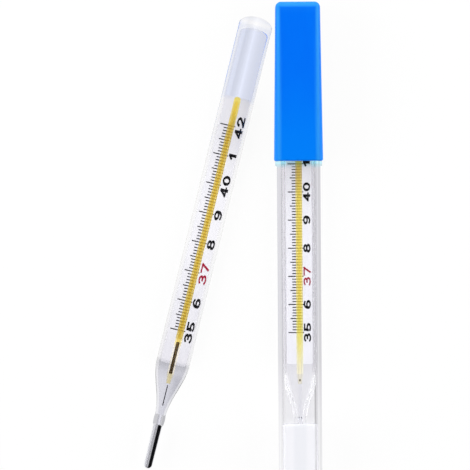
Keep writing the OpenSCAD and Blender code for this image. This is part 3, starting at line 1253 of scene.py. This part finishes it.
    def capillary(self) -> None:
        """Lens-fronted bar: its section carried along the axis, narrowing at the foot and to a round head."""
        low, high = self.reach("capillary")
        half, lip, points = high[0], self.bar_lip, 72
        foot, head = low[1], high[1] - half
        foot_half = self.bore_width / 2 + self.foot_wall
        rise = np.concatenate([[0.0, lip], np.linspace(2 * lip, self.foot_length, 8)])
        body = np.linspace(foot + self.foot_length, head, 12)[1:]
        round_head = np.radians(np.linspace(4, 88, 16))
        along = np.concatenate([foot + rise, body, head + half * np.sin(round_head)])
        drawn = foot_half + (half - foot_half) * ease(rise / self.foot_length)
        widths = np.concatenate([drawn, np.full(len(body), half), half * np.cos(round_head)])
        outside = rings(np.stack([self.bar_outline(width, points) for width in widths]), along)
        bore_end = np.radians(np.linspace(88, 0, 12))
        bore_top = high[1] - self.head_glass - self.bore_width
        down = np.append(np.linspace(bore_top, foot + lip, 12)[1:], foot)
        bore_along = np.concatenate([bore_top + self.bore_width * np.sin(bore_end), down])
        shrink = np.concatenate([np.cos(bore_end), np.ones(len(down))])
        bore = rings(shrink[:, None, None] * self.bore_outline(0, points)[None], bore_along)
        skin = Skin.over(np.concatenate([bore, outside]))
        self.glassware("capillary_bar", skin, self.bar_glass, "capillary", "amber_glass", foot)

    def bore_mercury(self) -> None:
        """Mercury in the bore: the ribbon section carried along it, drawn in at both ends to a meniscus.

        It lies where the imported column lies, fixed in the frame and on no body.
        """
        low, high = self.reach(self.column)
        bulge = min(self.bore_depth, (high[1] - low[1]) / 3)
        turn = np.radians(np.linspace(5, 90, 9))
        body = np.linspace(low[1] + bulge, high[1] - bulge, 40)[1:-1]
        end = bulge * (1 - np.cos(turn))
        along = np.concatenate([low[1] + end, body, high[1] - end[::-1]])
        share = np.concatenate([np.sin(turn), np.ones(len(body)), np.sin(turn[::-1])])
        outline = self.bore_outline(self.wetting, 48) * np.array([self.bore_fill, 1.0])
        skin = Skin.over(rings(share[:, None, None] * outline[None], along))
        material = self.finishes.column.made(self.placement)
        name, replaced = self.node("bore_mercury"), (self.node(self.column),)
        piece = Piece(name, skin, material, "mercury", replaced, Sight.CLEAR)
        across = 2 * skin.points[:, 0] / (self.bore_width * self.bore_fill)
        made = piece.mesh(self.placement, {"across": across})
        start, stop = (tuple(self.placement.lay(np.array([0, place, 0]))) for place in (low[1], high[1]))
        self.node("mercury")
        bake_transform(made)

    def throat(self) -> None:
        """Throat tube: a profile turned about the axis, its bore drawn in between two funnels."""
        low, high = (float(end[1]) for end in self.reach("throat_tube"))
        outer, bore, pinch = self.throat_width / 2, self.throat_bore / 2, self.pinch_bore / 2
        pinch_top = self.reach("envelope")[0][1] + self.pinch_height
        lip = self.throat_lip
        outside = [(outer - lip, low), (outer, low + lip), (outer, high - lip), (outer - lip, high)]
        funnel = [(bore + lip, high), (bore, high - lip), (bore, pinch_top + self.pinch_funnel)]
        drawn = [(pinch, pinch_top), (pinch, low + self.pinch_funnel), (bore, low + lip), (bore + lip, low)]
        profile = crisp(polyline(*outside, *funnel, *drawn, outside[0]))[:-1]
        skin = Skin.over(turned(profile, count=32), joined=True)
        self.glassware("throat_glass", skin, self.finishes.throat, "throat_tube")

    def collar(self) -> None:
        """Weld bead: half a sine wave between two flat ends, turned about the axis."""
        low, high = self.reach("weld_collar")
        share = np.linspace(0, 1, 24)
        end = self.collar_end / 2
        outside = np.column_stack([
            end + (high[0] - end) * np.sin(np.pi * share),
            low[1] + (high[1] - low[1]) * share,
        ])
        inside = self.throat_width / 2 + self.wetting
        profile = np.vstack([outside, [inside, high[1]], [inside, low[1]]])
        skin = Skin.over(turned(profile, count=48), joined=True)
        self.glassware("weld_bead", skin, self.bead_glass, "weld_collar")

    def bulb_profile(self, inset: float) -> Array:
        """Profile of the bulb's outside, or of a form smaller all round: a ball tip and a slow cone.

        Args:
            inset: how much smaller.

        Returns:
            Radius and place along the axis, n by 2, from the tip up to the collar, or up to the roof inside.
        """
        high = self.reach("bulb")[1]
        tip = self.bulb_tip / 2
        ball = arc((0, tip), (tip - inset, tip - inset), -89, 0, 20)
        share = np.linspace(0, 1, 20)[1:]
        cone = np.column_stack([tip + (high[0] - tip) * share - inset, tip + (high[1] - tip) * share])
        profile = np.vstack([ball, cone])
        return profile[profile[:, 1] < self.roof[1]] if inset else profile

    @property
    def roof(self) -> Range:
        """Places along the axis of the top of the bulb's roof and of its foot."""
        top = self.reach("bulb")[1][1] - self.roof_wall
        return top, top - self.bulb_roof

    def bulb(self) -> None:
        """Bulb glass: its outside, and its hollow under a conical roof, turned about the axis."""
        roof_top, roof_foot = self.roof
        outside, hollow = self.bulb_profile(0.0), self.bulb_profile(self.bulb_wall)
        bore = self.throat_bore / 2
        neck = np.array([[bore, outside[-1, 1]], [bore, roof_top], [hollow[-1, 0], roof_foot]])
        skin = Skin.over(turned(np.vstack([outside, neck, hollow[::-1]])))
        self.glassware("bulb_glass", skin, self.finishes.bulb, "bulb")

    def bulb_mercury(self) -> None:
        """Mercury that wets the bulb's wall, and fills its roof: a profile turned about the axis."""
        roof_top, roof_foot = self.roof
        wall = self.bulb_profile(self.bulb_wall - self.wetting)
        cone = np.linspace((wall[-1, 0], roof_foot), (self.throat_bore / 2, roof_top), 8)
        skin = Skin.over(turned(np.vstack([wall, cone])))
        material = self.mercury.made(self.placement)
        piece = Piece(self.node("bulb_fill"), skin, material, "mercury", (self.node("bulb_mercury"),))
        piece.on(self.body, self.placement, {"across": skin.points[:, 0] / wall[:, 0].max()})

    @property
    def marks(self) -> Marks:
        """Places of the scale's marks along the thermometer.

        Returns:
            The first mark, the step between marks and the last mark, in millimetres from the tip.
        """
        low, high = self.reach("scale_marks")
        first, last = low[1] + self.mark_height / 2, high[1] - self.mark_height / 2
        return first, (last - first) / (10 * (self.highest - self.lowest)), last

    def numbers(self) -> None:
        """Writes whole degrees at their marks, in full at both ends, a ten and in red, else as one digit."""
        low, high = self.reach("scale_marks")
        first, step, _ = self.marks
        in_full = {self.lowest, self.red, self.ten, self.highest}
        written: dict[bool, list[Skin]] = {False: [], True: []}
        for value in range(self.lowest, self.highest + 1):
            text = str(value) if value in in_full else str(value % 10)
            centre = first + 10 * step * (value - self.lowest)
            pen = self.red_pen if value == self.red else self.pen
            written[value == self.red] += pen.written(text, centre, self.number_foot, low[2], high[2])
        inks = {False: ("numbers", self.finishes.black), True: ("red_number", self.finishes.red)}
        for is_red, (name, ink) in inks.items():
            skin = Skin.together(written[is_red])
            piece = Piece(self.node(name), skin, ink.made(self.placement), "grey_ink", smooth=False)
            piece.on(self.body, self.placement)

    def build(self) -> None:
        """Makes and dresses every piece of the thermometer."""
        self.dressed("scale_plate", self.opal.made(self.placement))
        self.dressed("scale_marks", self.finishes.marks.made(self.placement))
        low, high = self.reach("capillary_backing")
        amber = self.amber.made(self.placement, (low[1], high[1]), self.marks)
        Sight.CLEAR.show(self.dressed("capillary_backing", amber))
        self.envelope()
        self.capillary()
        self.bore_mercury()
        self.throat()
        self.collar()
        self.bulb()
        self.bulb_mercury()
        self.numbers()
        if self.node("mercury_thread") in frame["nodes"]:
            self.dressed("mercury_thread", self.finishes.thread.made(self.placement))


@dataclass
class Case:
    """Clear tube with its stop rib and spigot, and the cushion in its foot, in millimetres."""

    placement: Placement
    finishes: "Finishes"
    collar_radius: float
    body: str = "case"
    wall: float = 1.05
    corner: float = 1.6
    inner_corner: float = 0.8
    spigot_corner: float = 1.2
    spigot_wall: float = 0.65
    spigot_length: float = 17.0
    floor: float = 1.2
    rib_height: float = 1.2
    rib_out: float = 0.45
    edge: float = 0.12
    cushion_edge: float = 0.4
    cushion_clear: float = 0.2
    cushion_floor: float = 1.0
    cushion_lip: float = 0.25

    def tube(self) -> None:
        """Tube: rounded rectangles carried along the axis, up the outside and down the inside.

        The closed end is a quarter round, and each step has a small cut edge.
        """
        low, high = self.placement.reach("case_tube")
        rib = np.array([high[0], high[2]])
        body = rib - self.rib_out
        hollow = body - self.wall
        spigot = hollow + self.spigot_wall
        base, top, edge = low[1], high[1], self.edge
        rib_top = top - self.spigot_length
        rib_foot = rib_top - self.rib_height
        floor = base + self.floor
        outer, rib_corner = self.corner, self.corner + self.rib_out
        inner, slim = self.inner_corner, self.spigot_corner
        spigot_places = [rib_top + edge, *np.linspace(rib_top + 1, top - edge, 6)]
        middle_of_floor = 0.3
        steps = [
            rounding(body, outer, base, outer, np.radians(np.linspace(0, 90, 14))),
            straight(body, outer, np.linspace(base + outer, rib_foot - edge, 30)[1:]),
            straight(body + edge, outer + edge, [rib_foot]),
            straight(rib - edge, rib_corner - edge, [rib_foot]),
            straight(rib, rib_corner, [rib_foot + edge, rib_top - edge]),
            straight(rib - edge, rib_corner - edge, [rib_top]),
            straight(spigot + edge, slim + edge, [rib_top]),
            straight(spigot, slim, spigot_places),
            straight(spigot - edge, slim - edge, [top]),
            straight(hollow + edge, inner + edge, [top]),
            straight(hollow, inner, np.linspace(top - edge, floor + edge, 40)),
            straight(hollow - edge, inner - edge, [floor]),
            straight(hollow * middle_of_floor, middle_of_floor, [floor]),
        ]
        skin = Skin.over(blocks(crisp(np.vstack(steps)), (low + high) / 2))
        material = self.finishes.tube.made(self.placement)
        piece = Piece("case_clear_tube", skin, material, "clear_plastic", ("case_tube",), Sight.CLEAR)
        piece.on(self.body, self.placement)

    def cushion(self) -> None:
        """Cushion: a rounded block, its top crowned to the lip of a round bore that clears the collar."""
        low, high = self.placement.reach("bulb_cushion")
        half = (high - low)[[0, 2]] / 2
        base, top, soft = low[1], high[1], self.cushion_edge
        turn = np.radians(np.linspace(0, 90, 8))
        steps = np.vstack([
            rounding(half, self.inner_corner, base, soft, turn),
            straight(half, self.inner_corner, np.linspace(base + soft, top - soft, 14)[1:-1]),
            rounding(half, self.inner_corner, top, soft, turn[::-1], -1),
        ])
        steps[:, 2] = self.inner_corner
        outside = rounded_block(steps[:, :2], steps[:, 2])
        angle = np.arctan2(outside[-1, :, 1], outside[-1, :, 0])
        bore, lip = self.collar_radius + self.cushion_clear, self.cushion_lip
        round_lip, flat_floor = 0.3 * lip, 0.8 * bore
        floor = base + self.cushion_floor
        down = np.linspace(top - lip, floor + lip, 16)
        radii = np.array([bore + lip, bore + round_lip, *np.full(len(down), bore), flat_floor])
        hole = radii[:, None, None] * np.column_stack([np.cos(angle), np.sin(angle)])
        along = np.concatenate([steps[:, 3], [top, top - round_lip], down, [floor]])
        middle = (low + high) / 2 * np.array([1, 0, 1])
        skin = Skin.over(rings(np.concatenate([outside, hole]), along) + middle)
        material = self.finishes.cushion.made(self.placement, bore)
        piece = Piece("case_bulb_cushion", skin, material, "soft_white", ("bulb_cushion",))
        piece.on(self.body, self.placement)


@dataclass
class Cap:
    """Push-on cap: a drafted block with rounded edges and a hollow, in millimetres."""

    placement: Placement
    finishes: "Finishes"
    body: str = "cap"
    end_width: float = 11.5
    corner: float = 1.5
    rim: float = 0.5
    wall: float = 0.93
    end_wall: float = 1.3
    draft: float = 0.25
    hollow_corner: float = 0.9
    hollow_foot: float = 0.2
    fade: float = 26.0
    # painted highlight bands on the sides and end, with painted shade at the outermost sides
    band: float = 4.2
    band_rise: float = 0.8
    end_band: float = 0.2
    dim_from: float = 1.0
    dim_rise: float = 0.4
    dim: float = 0.6

    def shell(self) -> None:
        """Cap: rounded rectangles down its hollow and up its outside.

        The width falls evenly from mouth to end. The end, the rim and the hollow's end are quarter rounds.
        """
        low, high = self.placement.reach("cap")
        mouth = (high - low)[[0, 2]] / 2
        length = high[1] - low[1]
        slope = np.array([self.end_width / 2 - mouth[0], 0.0]) / length
        turn = np.radians(np.linspace(0, 89, 14))
        end_turn = np.pi / 2 - turn
        tight = math.tan(math.radians(self.draft))
        deep, inner = length - self.end_wall, self.hollow_corner
        hollow = mouth - self.wall
        down = np.linspace(deep - inner, self.hollow_foot, 20)[1:]
        up = np.linspace(self.rim, length - self.corner, 26)[1:]
        steps = crisp(np.vstack([
            rounding(hollow - deep * tight, inner, deep, inner, end_turn[::-1], -1),
            straight(hollow - down[:, None] * tight, inner, down),
            rounding(mouth, self.corner, 0.0, self.rim, turn),
            straight(mouth + slope * up[:, None], self.corner, up),
            rounding(mouth + slope * up[-1], self.corner, length, self.corner, end_turn[1:], -1),
        ]))
        steps[:, 3] += low[1]
        skin = Skin.over(blocks(steps, (low + high) / 2, 14))
        mouthward = ease(np.clip(1 - (skin.points[:, 1] - low[1]) / self.fade, 0, 1))
        values = {"edge": self.edges(skin.points, low, high), "mouth": mouthward}
        material = self.finishes.cap.made(self.placement)
        piece = Piece("cap_shell", skin, material, "blue_plastic", ("cap",), Sight.MUTED)
        piece.on(self.body, self.placement, values)

    def edges(self, points: Array, low: Array, high: Array) -> Array:
        """Share of painted highlight at each point, 0 to 1, on the rounded rims beyond the flat face.

        It rises with the distance past the line where a side's painted pale band or the closed end's rounding
        starts, and painted shade takes it down a little again at the outermost side.

        Args:
            points: the cap's points in across, along and front.
            low, high: the cap's reach.

        Returns:
            One value to a point.
        """
        side = np.abs(points[:, 0] - (low[0] + high[0]) / 2) - self.band
        end = points[:, 1] - (high[1] - self.corner) + self.end_band
        pale = ease(np.clip(np.maximum(side, end) / self.band_rise, 0, 1))
        return pale * (1 - self.dim * ease(np.clip((side - self.dim_from) / self.dim_rise, 0, 1)))


@dataclass(frozen=True)
class Finishes:
    """Finishes of the case and those that both thermometers share, in their colours in even white light,
    apart from the painted light and shade set on the tube, cap and cushion.
    """

    throat: Glass = Glass(
        "throat_glass", ((0.0, (0.98, 0.98, 0.985)), (30.0, (0.98, 0.98, 0.985))), index=1.08, ripple=0.02
    )
    bulb: Glass = Glass(
        "bulb_glass", ((0.0, (0.96, 0.96, 0.97)), (30.0, (0.96, 0.96, 0.97))), index=1.06, ripple=0.02
    )
    # painted light on the tube: faces and walls greyer over the thermometer are painted shade, the cyan bands
    # at the cap's mouth painted blue light from the cap, and the lines across painted reflections with
    # painted shade lines
    tube: Glass = WalledGlass(
        "tube_plastic",
        (
            (0.0, (0.985, 0.985, 0.99)), (14.0, (0.975, 0.975, 0.985)), (16.5, (0.925, 0.922, 0.935)),
            (27.0, (0.925, 0.922, 0.935)), (31.0, (0.895, 0.89, 0.912)), (80.6, (0.895, 0.89, 0.912)),
            (81.2, (0.79, 0.85, 0.90)), (81.6, (0.66, 0.82, 0.86)), (81.9, (0.63, 0.91, 0.985)),
            (82.5, (0.63, 0.91, 0.985)), (82.8, (0.94, 0.94, 0.95)), (99.0, (0.94, 0.94, 0.95)),
        ),
        rim=(0.86, 0.86, 0.88),
        index=1.03,
        turned_from=0.5,
        haze=0.0,
        ripple=0.0,
        lines=(
            (-5.5, 1.0), (-5.2, 1.04), (-4.8, 0.98), (-4.55, 0.94), (-4.2, 0.97), (-3.6, 1.0), (3.6, 1.0),
            (3.9, 0.76), (4.1, 0.76), (4.35, 1.0), (4.8, 0.97), (5.1, 0.87), (5.25, 0.87), (5.5, 1.05),
        ),
        walls=(
            (0.0, (0.95, 0.95, 0.96)), (14.0, (0.90, 0.90, 0.91)), (24.0, (0.83, 0.82, 0.85)),
            (31.0, (0.76, 0.755, 0.78)), (45.0, (0.733, 0.728, 0.765)), (80.6, (0.733, 0.728, 0.765)),
            (81.2, (0.68, 0.76, 0.82)), (81.6, (0.60, 0.79, 0.84)), (81.9, (0.60, 0.91, 0.985)),
            (82.5, (0.60, 0.91, 0.985)), (82.8, (0.86, 0.86, 0.88)), (99.0, (0.86, 0.86, 0.88)),
        ),
    )
    marks: Ink = Ink("scale_ink", srgb(30, 28, 32), srgb(54, 52, 56))
    black: Ink = Ink("number_ink", srgb(6, 6, 8), srgb(22, 22, 26))
    red: Ink = Ink("red_ink", srgb(154, 24, 52), srgb(172, 48, 74))
    thread: Ink = Ink("thread_mercury", srgb(34, 33, 36), srgb(66, 65, 70))
    column: Liquid = Liquid.in_bore("column_mercury", srgb(70, 53, 28), srgb(112, 94, 58))
    cushion: Soft = Soft("cushion_white", srgb(241, 241, 244), srgb(238, 238, 242), srgb(233, 234, 238))
    cap: Moulded = Moulded(
        "cap_blue", srgb(0, 103, 229), srgb(38, 139, 230), srgb(0, 107, 231), srgb(0, 118, 232)
    )


def bar_glass(name: str, bands: Bands) -> Glass:
    """Glass of a capillary bar, with dull reflections so that the bore shows."""
    return Glass(name, bands, index=1.5, glint=(0.1, 0.1, 0.06), haze=0.16, ripple=0.02)


def bare_thermometer(finishes: Finishes) -> Thermometer:
    """The thermometer that lies beside the case.

    Args:
        finishes: the finishes that both thermometers share.

    Returns:
        The thermometer, with its finishes.
    """
    lilac = (0.84, 0.86, 0.928)
    pale = (0.84, 0.84, 0.875)
    painted_plate_shadow_edge = (0.80, 0.80, 0.835)
    painted_plate_shadow = (0.70, 0.70, 0.728)
    mist = (0.905, 0.90, 0.92)
    haze = (0.94, 0.94, 0.955)
    clear = (0.985, 0.985, 0.99)
    pewter = (0.72, 0.72, 0.75)
    straw = (1.0, 0.94, 0.70)
    pearl = (0.99, 0.97, 0.92)
    honey = (0.97, 0.87, 0.47)
    # Along this envelope the lilac of the empty top is painted shade, the two deeper bands under the plate's
    # foot are a painted shadow of the plate, and the paler band in the dome is a painted highlight. The lines
    # above the plate are a painted highlight streak with painted shade lines, and the neck carries painted
    # shade on its right.
    envelope = Glass(
        "bare_envelope_glass",
        (
            (14.0, pale), (23.5, pale), (25.5, painted_plate_shadow_edge), (27.9, painted_plate_shadow), (28.9, mist), (45.0, haze),
            (60.0, clear), (78.0, clear), (88.0, haze), (97.5, haze), (98.5, lilac), (117.3, lilac),
            (117.8, haze), (118.4, haze), (118.9, lilac), (120.0, lilac),
        ),
        rim=(0.88, 0.865, 0.84),
        turned_from=0.35,
        lines=(
            (-3.6, 1.0), (-3.0, 1.04), (-2.4, 1.02), (-2.0, 0.965), (-1.2, 0.985), (-0.4, 1.04), (0.1, 1.085),
            (0.8, 1.04), (1.6, 1.005), (2.4, 0.985), (3.2, 0.985), (3.8, 1.0),
        ),
        lines_from=99.0,
        shade=(0.86, 0.86, 0.87),
        shade_below=26.0,
    )
    bar_tints = ((0.0, straw), (2.4, straw), (3.2, pearl), (9.6, pearl), (10.6, honey), (76.0, honey))
    # the lines across the bead are a painted highlight down its middle with painted shade to either side
    bead = Glass(
        "bare_bead_glass",
        ((0.0, pewter), (30.0, pewter)),
        ripple=0.3,
        lines=(
            (-1.5, 0.95), (-1.0, 0.82), (-0.6, 0.80), (-0.3, 1.0), (-0.1, 1.12), (0.2, 1.27), (0.4, 1.1),
            (0.6, 0.79), (1.0, 0.63), (1.4, 0.76),
        ),
    )
    amber = Amber(
        "bare_amber",
        foot=(0.92, 0.88, 0.78),
        low=(0.66, 0.56, 0.22),
        middle=(0.70, 0.60, 0.25),
        head=(0.98, 0.90, 0.38),
        foot_share=0.124,
        low_share=0.13,
        head_share=0.985,
    )
    pen = Pen(height=2.0, width=2.62, narrow=1.7, stem=0.78, bar=0.38, gap=0.36)
    return Thermometer(
        prefix="bare",
        column="mercury_column",
        finishes=finishes,
        envelope_glass=envelope,
        bar_glass=bar_glass("bare_bar_glass", bar_tints),
        bead_glass=bead,
        amber=amber,
        mercury=Liquid.in_bulb(
            "bare_bulb_mercury", (0.50, 0.50, 0.53), (0.28, 0.28, 0.30), (0.002, 0.002, 0.003), edge=0.1
        ),
        opal=Opal("bare_opal", srgb(236, 235, 239), srgb(231, 230, 235)),
        pen=pen,
        red_pen=replace(pen, stem=0.66, bar=0.36),
        number_foot=3.27,
        neck_width=2.76,
        shoulder=28.2,
    )


def cased_thermometer(finishes: Finishes) -> Thermometer:
    """The thermometer in the case.

    Args:
        finishes: the finishes that both thermometers share.

    Returns:
        The thermometer, with its finishes.
    """
    clear = (0.985, 0.985, 0.99)
    cream = (1.0, 0.98, 0.88)
    lemon = (1.0, 0.94, 0.52)
    # the neck's rims turn white: painted highlights
    envelope = Glass(
        "cased_envelope_glass",
        ((14.0, clear), (120.0, clear)),
        rim=WHITE,
        index=1.08,
        sheen=1.0,
        milky=((13.0, 0.3), (20.0, 0.26), (24.0, 0.34), (26.0, 0.34), (28.5, 0.0)),
    )
    bar_tints = ((0.0, cream), (4.0, cream), (14.0, lemon), (76.0, lemon))
    amber = Amber(
        "cased_amber",
        foot=(0.95, 0.94, 0.84),
        low=(0.86, 0.86, 0.44),
        middle=(0.92, 0.85, 0.48),
        head=(0.75, 0.63, 0.45),
        foot_share=0.0,
        low_share=0.20,
        head_share=0.75,
    )
    pen = Pen(height=1.84, width=2.3, narrow=1.5, stem=0.66, bar=0.35, gap=0.32)
    return Thermometer(
        prefix="cased",
        column="mercury_bead",
        finishes=finishes,
        envelope_glass=envelope,
        bar_glass=bar_glass("cased_bar_glass", bar_tints),
        bead_glass=Glass("cased_bead_glass", ((0.0, clear), (30.0, clear)), index=1.3, ripple=0.3),
        amber=amber,
        mercury=Liquid.in_bulb(
            "cased_bulb_mercury", (0.75, 0.75, 0.78), (0.5, 0.5, 0.53), (0.45, 0.45, 0.47), edge=0.2
        ),
        opal=Opal("cased_opal", srgb(249, 249, 252), srgb(245, 245, 249)),
        pen=pen,
        red_pen=replace(pen, stem=0.50, bar=0.31),
        number_foot=2.94,
        neck_width=3.6,
        shoulder=27.0,
        bore_fill=0.4,
    )


@dataclass(frozen=True)
class Studio:
    """Pale floor, soft light from the sides and a camera that looks straight down."""

    view_centre: Range = (0.57, 3.06)
    view_height: float = 4.4
    frame_size: float = 121.2
    roll: float = -0.39
    distance: float = 2.0
    sensor: float = 36.0
    floor_size: float = 6.0
    floor_drop: float = 0.05
    floor_tone: float = 0.9
    floor_glow: float = 0.93
    sky: Levels = ((0.0, 1.0), (0.25, 0.5), (0.5, 0.14), (0.8, 0.03))
    horizon: float = 0.15
    mirrored: Levels = (
        (0.0, 0.6), (0.3, 0.2), (0.512, 0.1), (0.53, 1.5), (0.58, 1.5), (0.63, 0.3), (0.7, 0.1), (1.0, 0.4)
    )
    mirrored_blue: float = 1.03
    through: float = 0.97
    lamp_size: Range = (0.7, 0.4)
    bounces: int = 32
    glossy_bounces: int = 12

    def camera(self) -> None:
        """Long lens straight above the pair, framed as the photograph is."""
        data = bpy.data.cameras.new("camera")
        data.sensor_width = self.sensor
        data.lens = self.sensor * self.distance / (self.frame_size * MM)
        made = bpy.data.objects.new("camera", data)
        across, along = self.view_centre
        made.location = (across * MM, along * MM, self.distance + self.view_height * MM)
        made.rotation_euler = (0.0, 0.0, math.radians(self.roll))
        bpy.context.scene.collection.objects.link(made)
        bpy.context.scene.camera = made

    def floor(self) -> None:
        """White floor: for sight it glows to white, for light it is plain, and it keeps a soft shadow."""
        reach = self.floor_size / 2
        mesh = bpy.data.meshes.new("floor")
        corners = [(-reach, -reach), (reach, -reach), (reach, reach), (-reach, reach)]
        mesh.from_pydata([(x, y, -self.floor_drop * MM) for x, y in corners], [], [(0, 1, 2, 3)])
        shader = Shader("floor_white")
        shader.tree.nodes.remove(shader.surface)
        path = shader.node("ShaderNodeLightPath").outputs
        seen = shader.greater(path["Is Glossy Ray"], path["Is Transmission Ray"])
        seen = shader.greater(path["Is Camera Ray"], seen)
        share = shader.spread(seen, (0.0, 1.0), (0.0, self.floor_glow))
        plain = shader.node("ShaderNodeBsdfDiffuse")
        plain.inputs["Color"].default_value = (*grey(self.floor_tone), 1.0)
        glow = shader.node("ShaderNodeEmission")
        mixed = shader.node("ShaderNodeMixShader")
        for source, target in zip((share, plain.outputs[0], glow.outputs[0]), mixed.inputs):
            shader.link(source, target)
        shader.link(mixed.outputs[0], shader.tree.nodes["Material Output"].inputs["Surface"])
        mesh.materials.append(shader.material)
        made = bpy.data.objects.new("floor", mesh)
        bpy.context.scene.collection.objects.link(made)

    def world(self) -> None:
        """Soft surroundings: pale low down, white through glass, and dim with a pale band in mirrors."""
        world = bpy.data.worlds.new("studio")
        world.use_nodes = True
        nodes = Nodes(world.node_tree)
        split = nodes.node("ShaderNodeSeparateXYZ")
        nodes.link(nodes.node("ShaderNodeTexCoord").outputs["Generated"], split.inputs[0])
        sky = nodes.ramp(split.outputs["Z"], [(height, grey(level)) for height, level in self.sky])
        side = nodes.spread(split.outputs["X"], (-1.0, 1.0))
        bluish = [(place, (level, level, self.mirrored_blue * level)) for place, level in self.mirrored]
        low = nodes.spread(split.outputs["Z"], (0.0, self.horizon), (1.0, 0.0))
        mirrored = nodes.mix(low, nodes.ramp(side, bluish), WHITE)
        path = nodes.node("ShaderNodeLightPath").outputs
        colour = nodes.mix(path["Is Glossy Ray"], sky, mirrored)
        colour = nodes.mix(path["Is Transmission Ray"], colour, grey(self.through))
        nodes.link(colour, nodes.tree.nodes["Background"].inputs["Color"])
        bpy.context.scene.world = world

    def lamp(self, name: str, place: tuple[float, float, float], power: float) -> None:
        """Soft box aimed at the pair, which nothing mirrors.

        Args:
            name: the lamp's name.
            place: where it stands, in metres.
            power: its power in watts.
        """
        data = bpy.data.lights.new(name, "AREA")
        data.shape = "RECTANGLE"
        data.size, data.size_y = self.lamp_size
        data.energy = power
        made = bpy.data.objects.new(name, data)
        away = np.array(place) / np.linalg.norm(place)
        made.location = place
        made.rotation_euler = (math.acos(away[2]), 0.0, math.atan2(away[0], -away[1]))
        made.visible_camera = made.visible_glossy = made.visible_transmission = False
        bpy.context.scene.collection.objects.link(made)

    def set_up(self) -> None:
        """Builds the whole studio."""
        scene = bpy.context.scene
        scene.view_settings.view_transform = "Standard"
        scene.cycles.max_bounces = self.bounces
        scene.cycles.transmission_bounces = self.bounces
        scene.cycles.glossy_bounces = self.glossy_bounces
        self.camera()
        self.floor()
        self.world()
        self.lamp("left_box", (-0.55, 0.0, 0.30), 4.2)
        self.lamp("right_box", (0.55, 0.0, 0.30), 3.6)
        self.lamp("far_box", (0.0, 0.6, 0.30), 3.2)


def main() -> None:
    """Builds the pair and the studio."""
    logging.basicConfig(level=logging.INFO, format="%(name)s: %(message)s")
    finishes = Finishes()
    bare, cased = bare_thermometer(finishes), cased_thermometer(finishes)
    bare.build()
    cased.build()
    case = Case(cased.placement, finishes, cased.reach("weld_collar")[1][0])
    case.tube()
    case.cushion()
    Cap(cased.placement, finishes).shell()
    Studio().set_up()


if __name__ == "__main__":
    main()
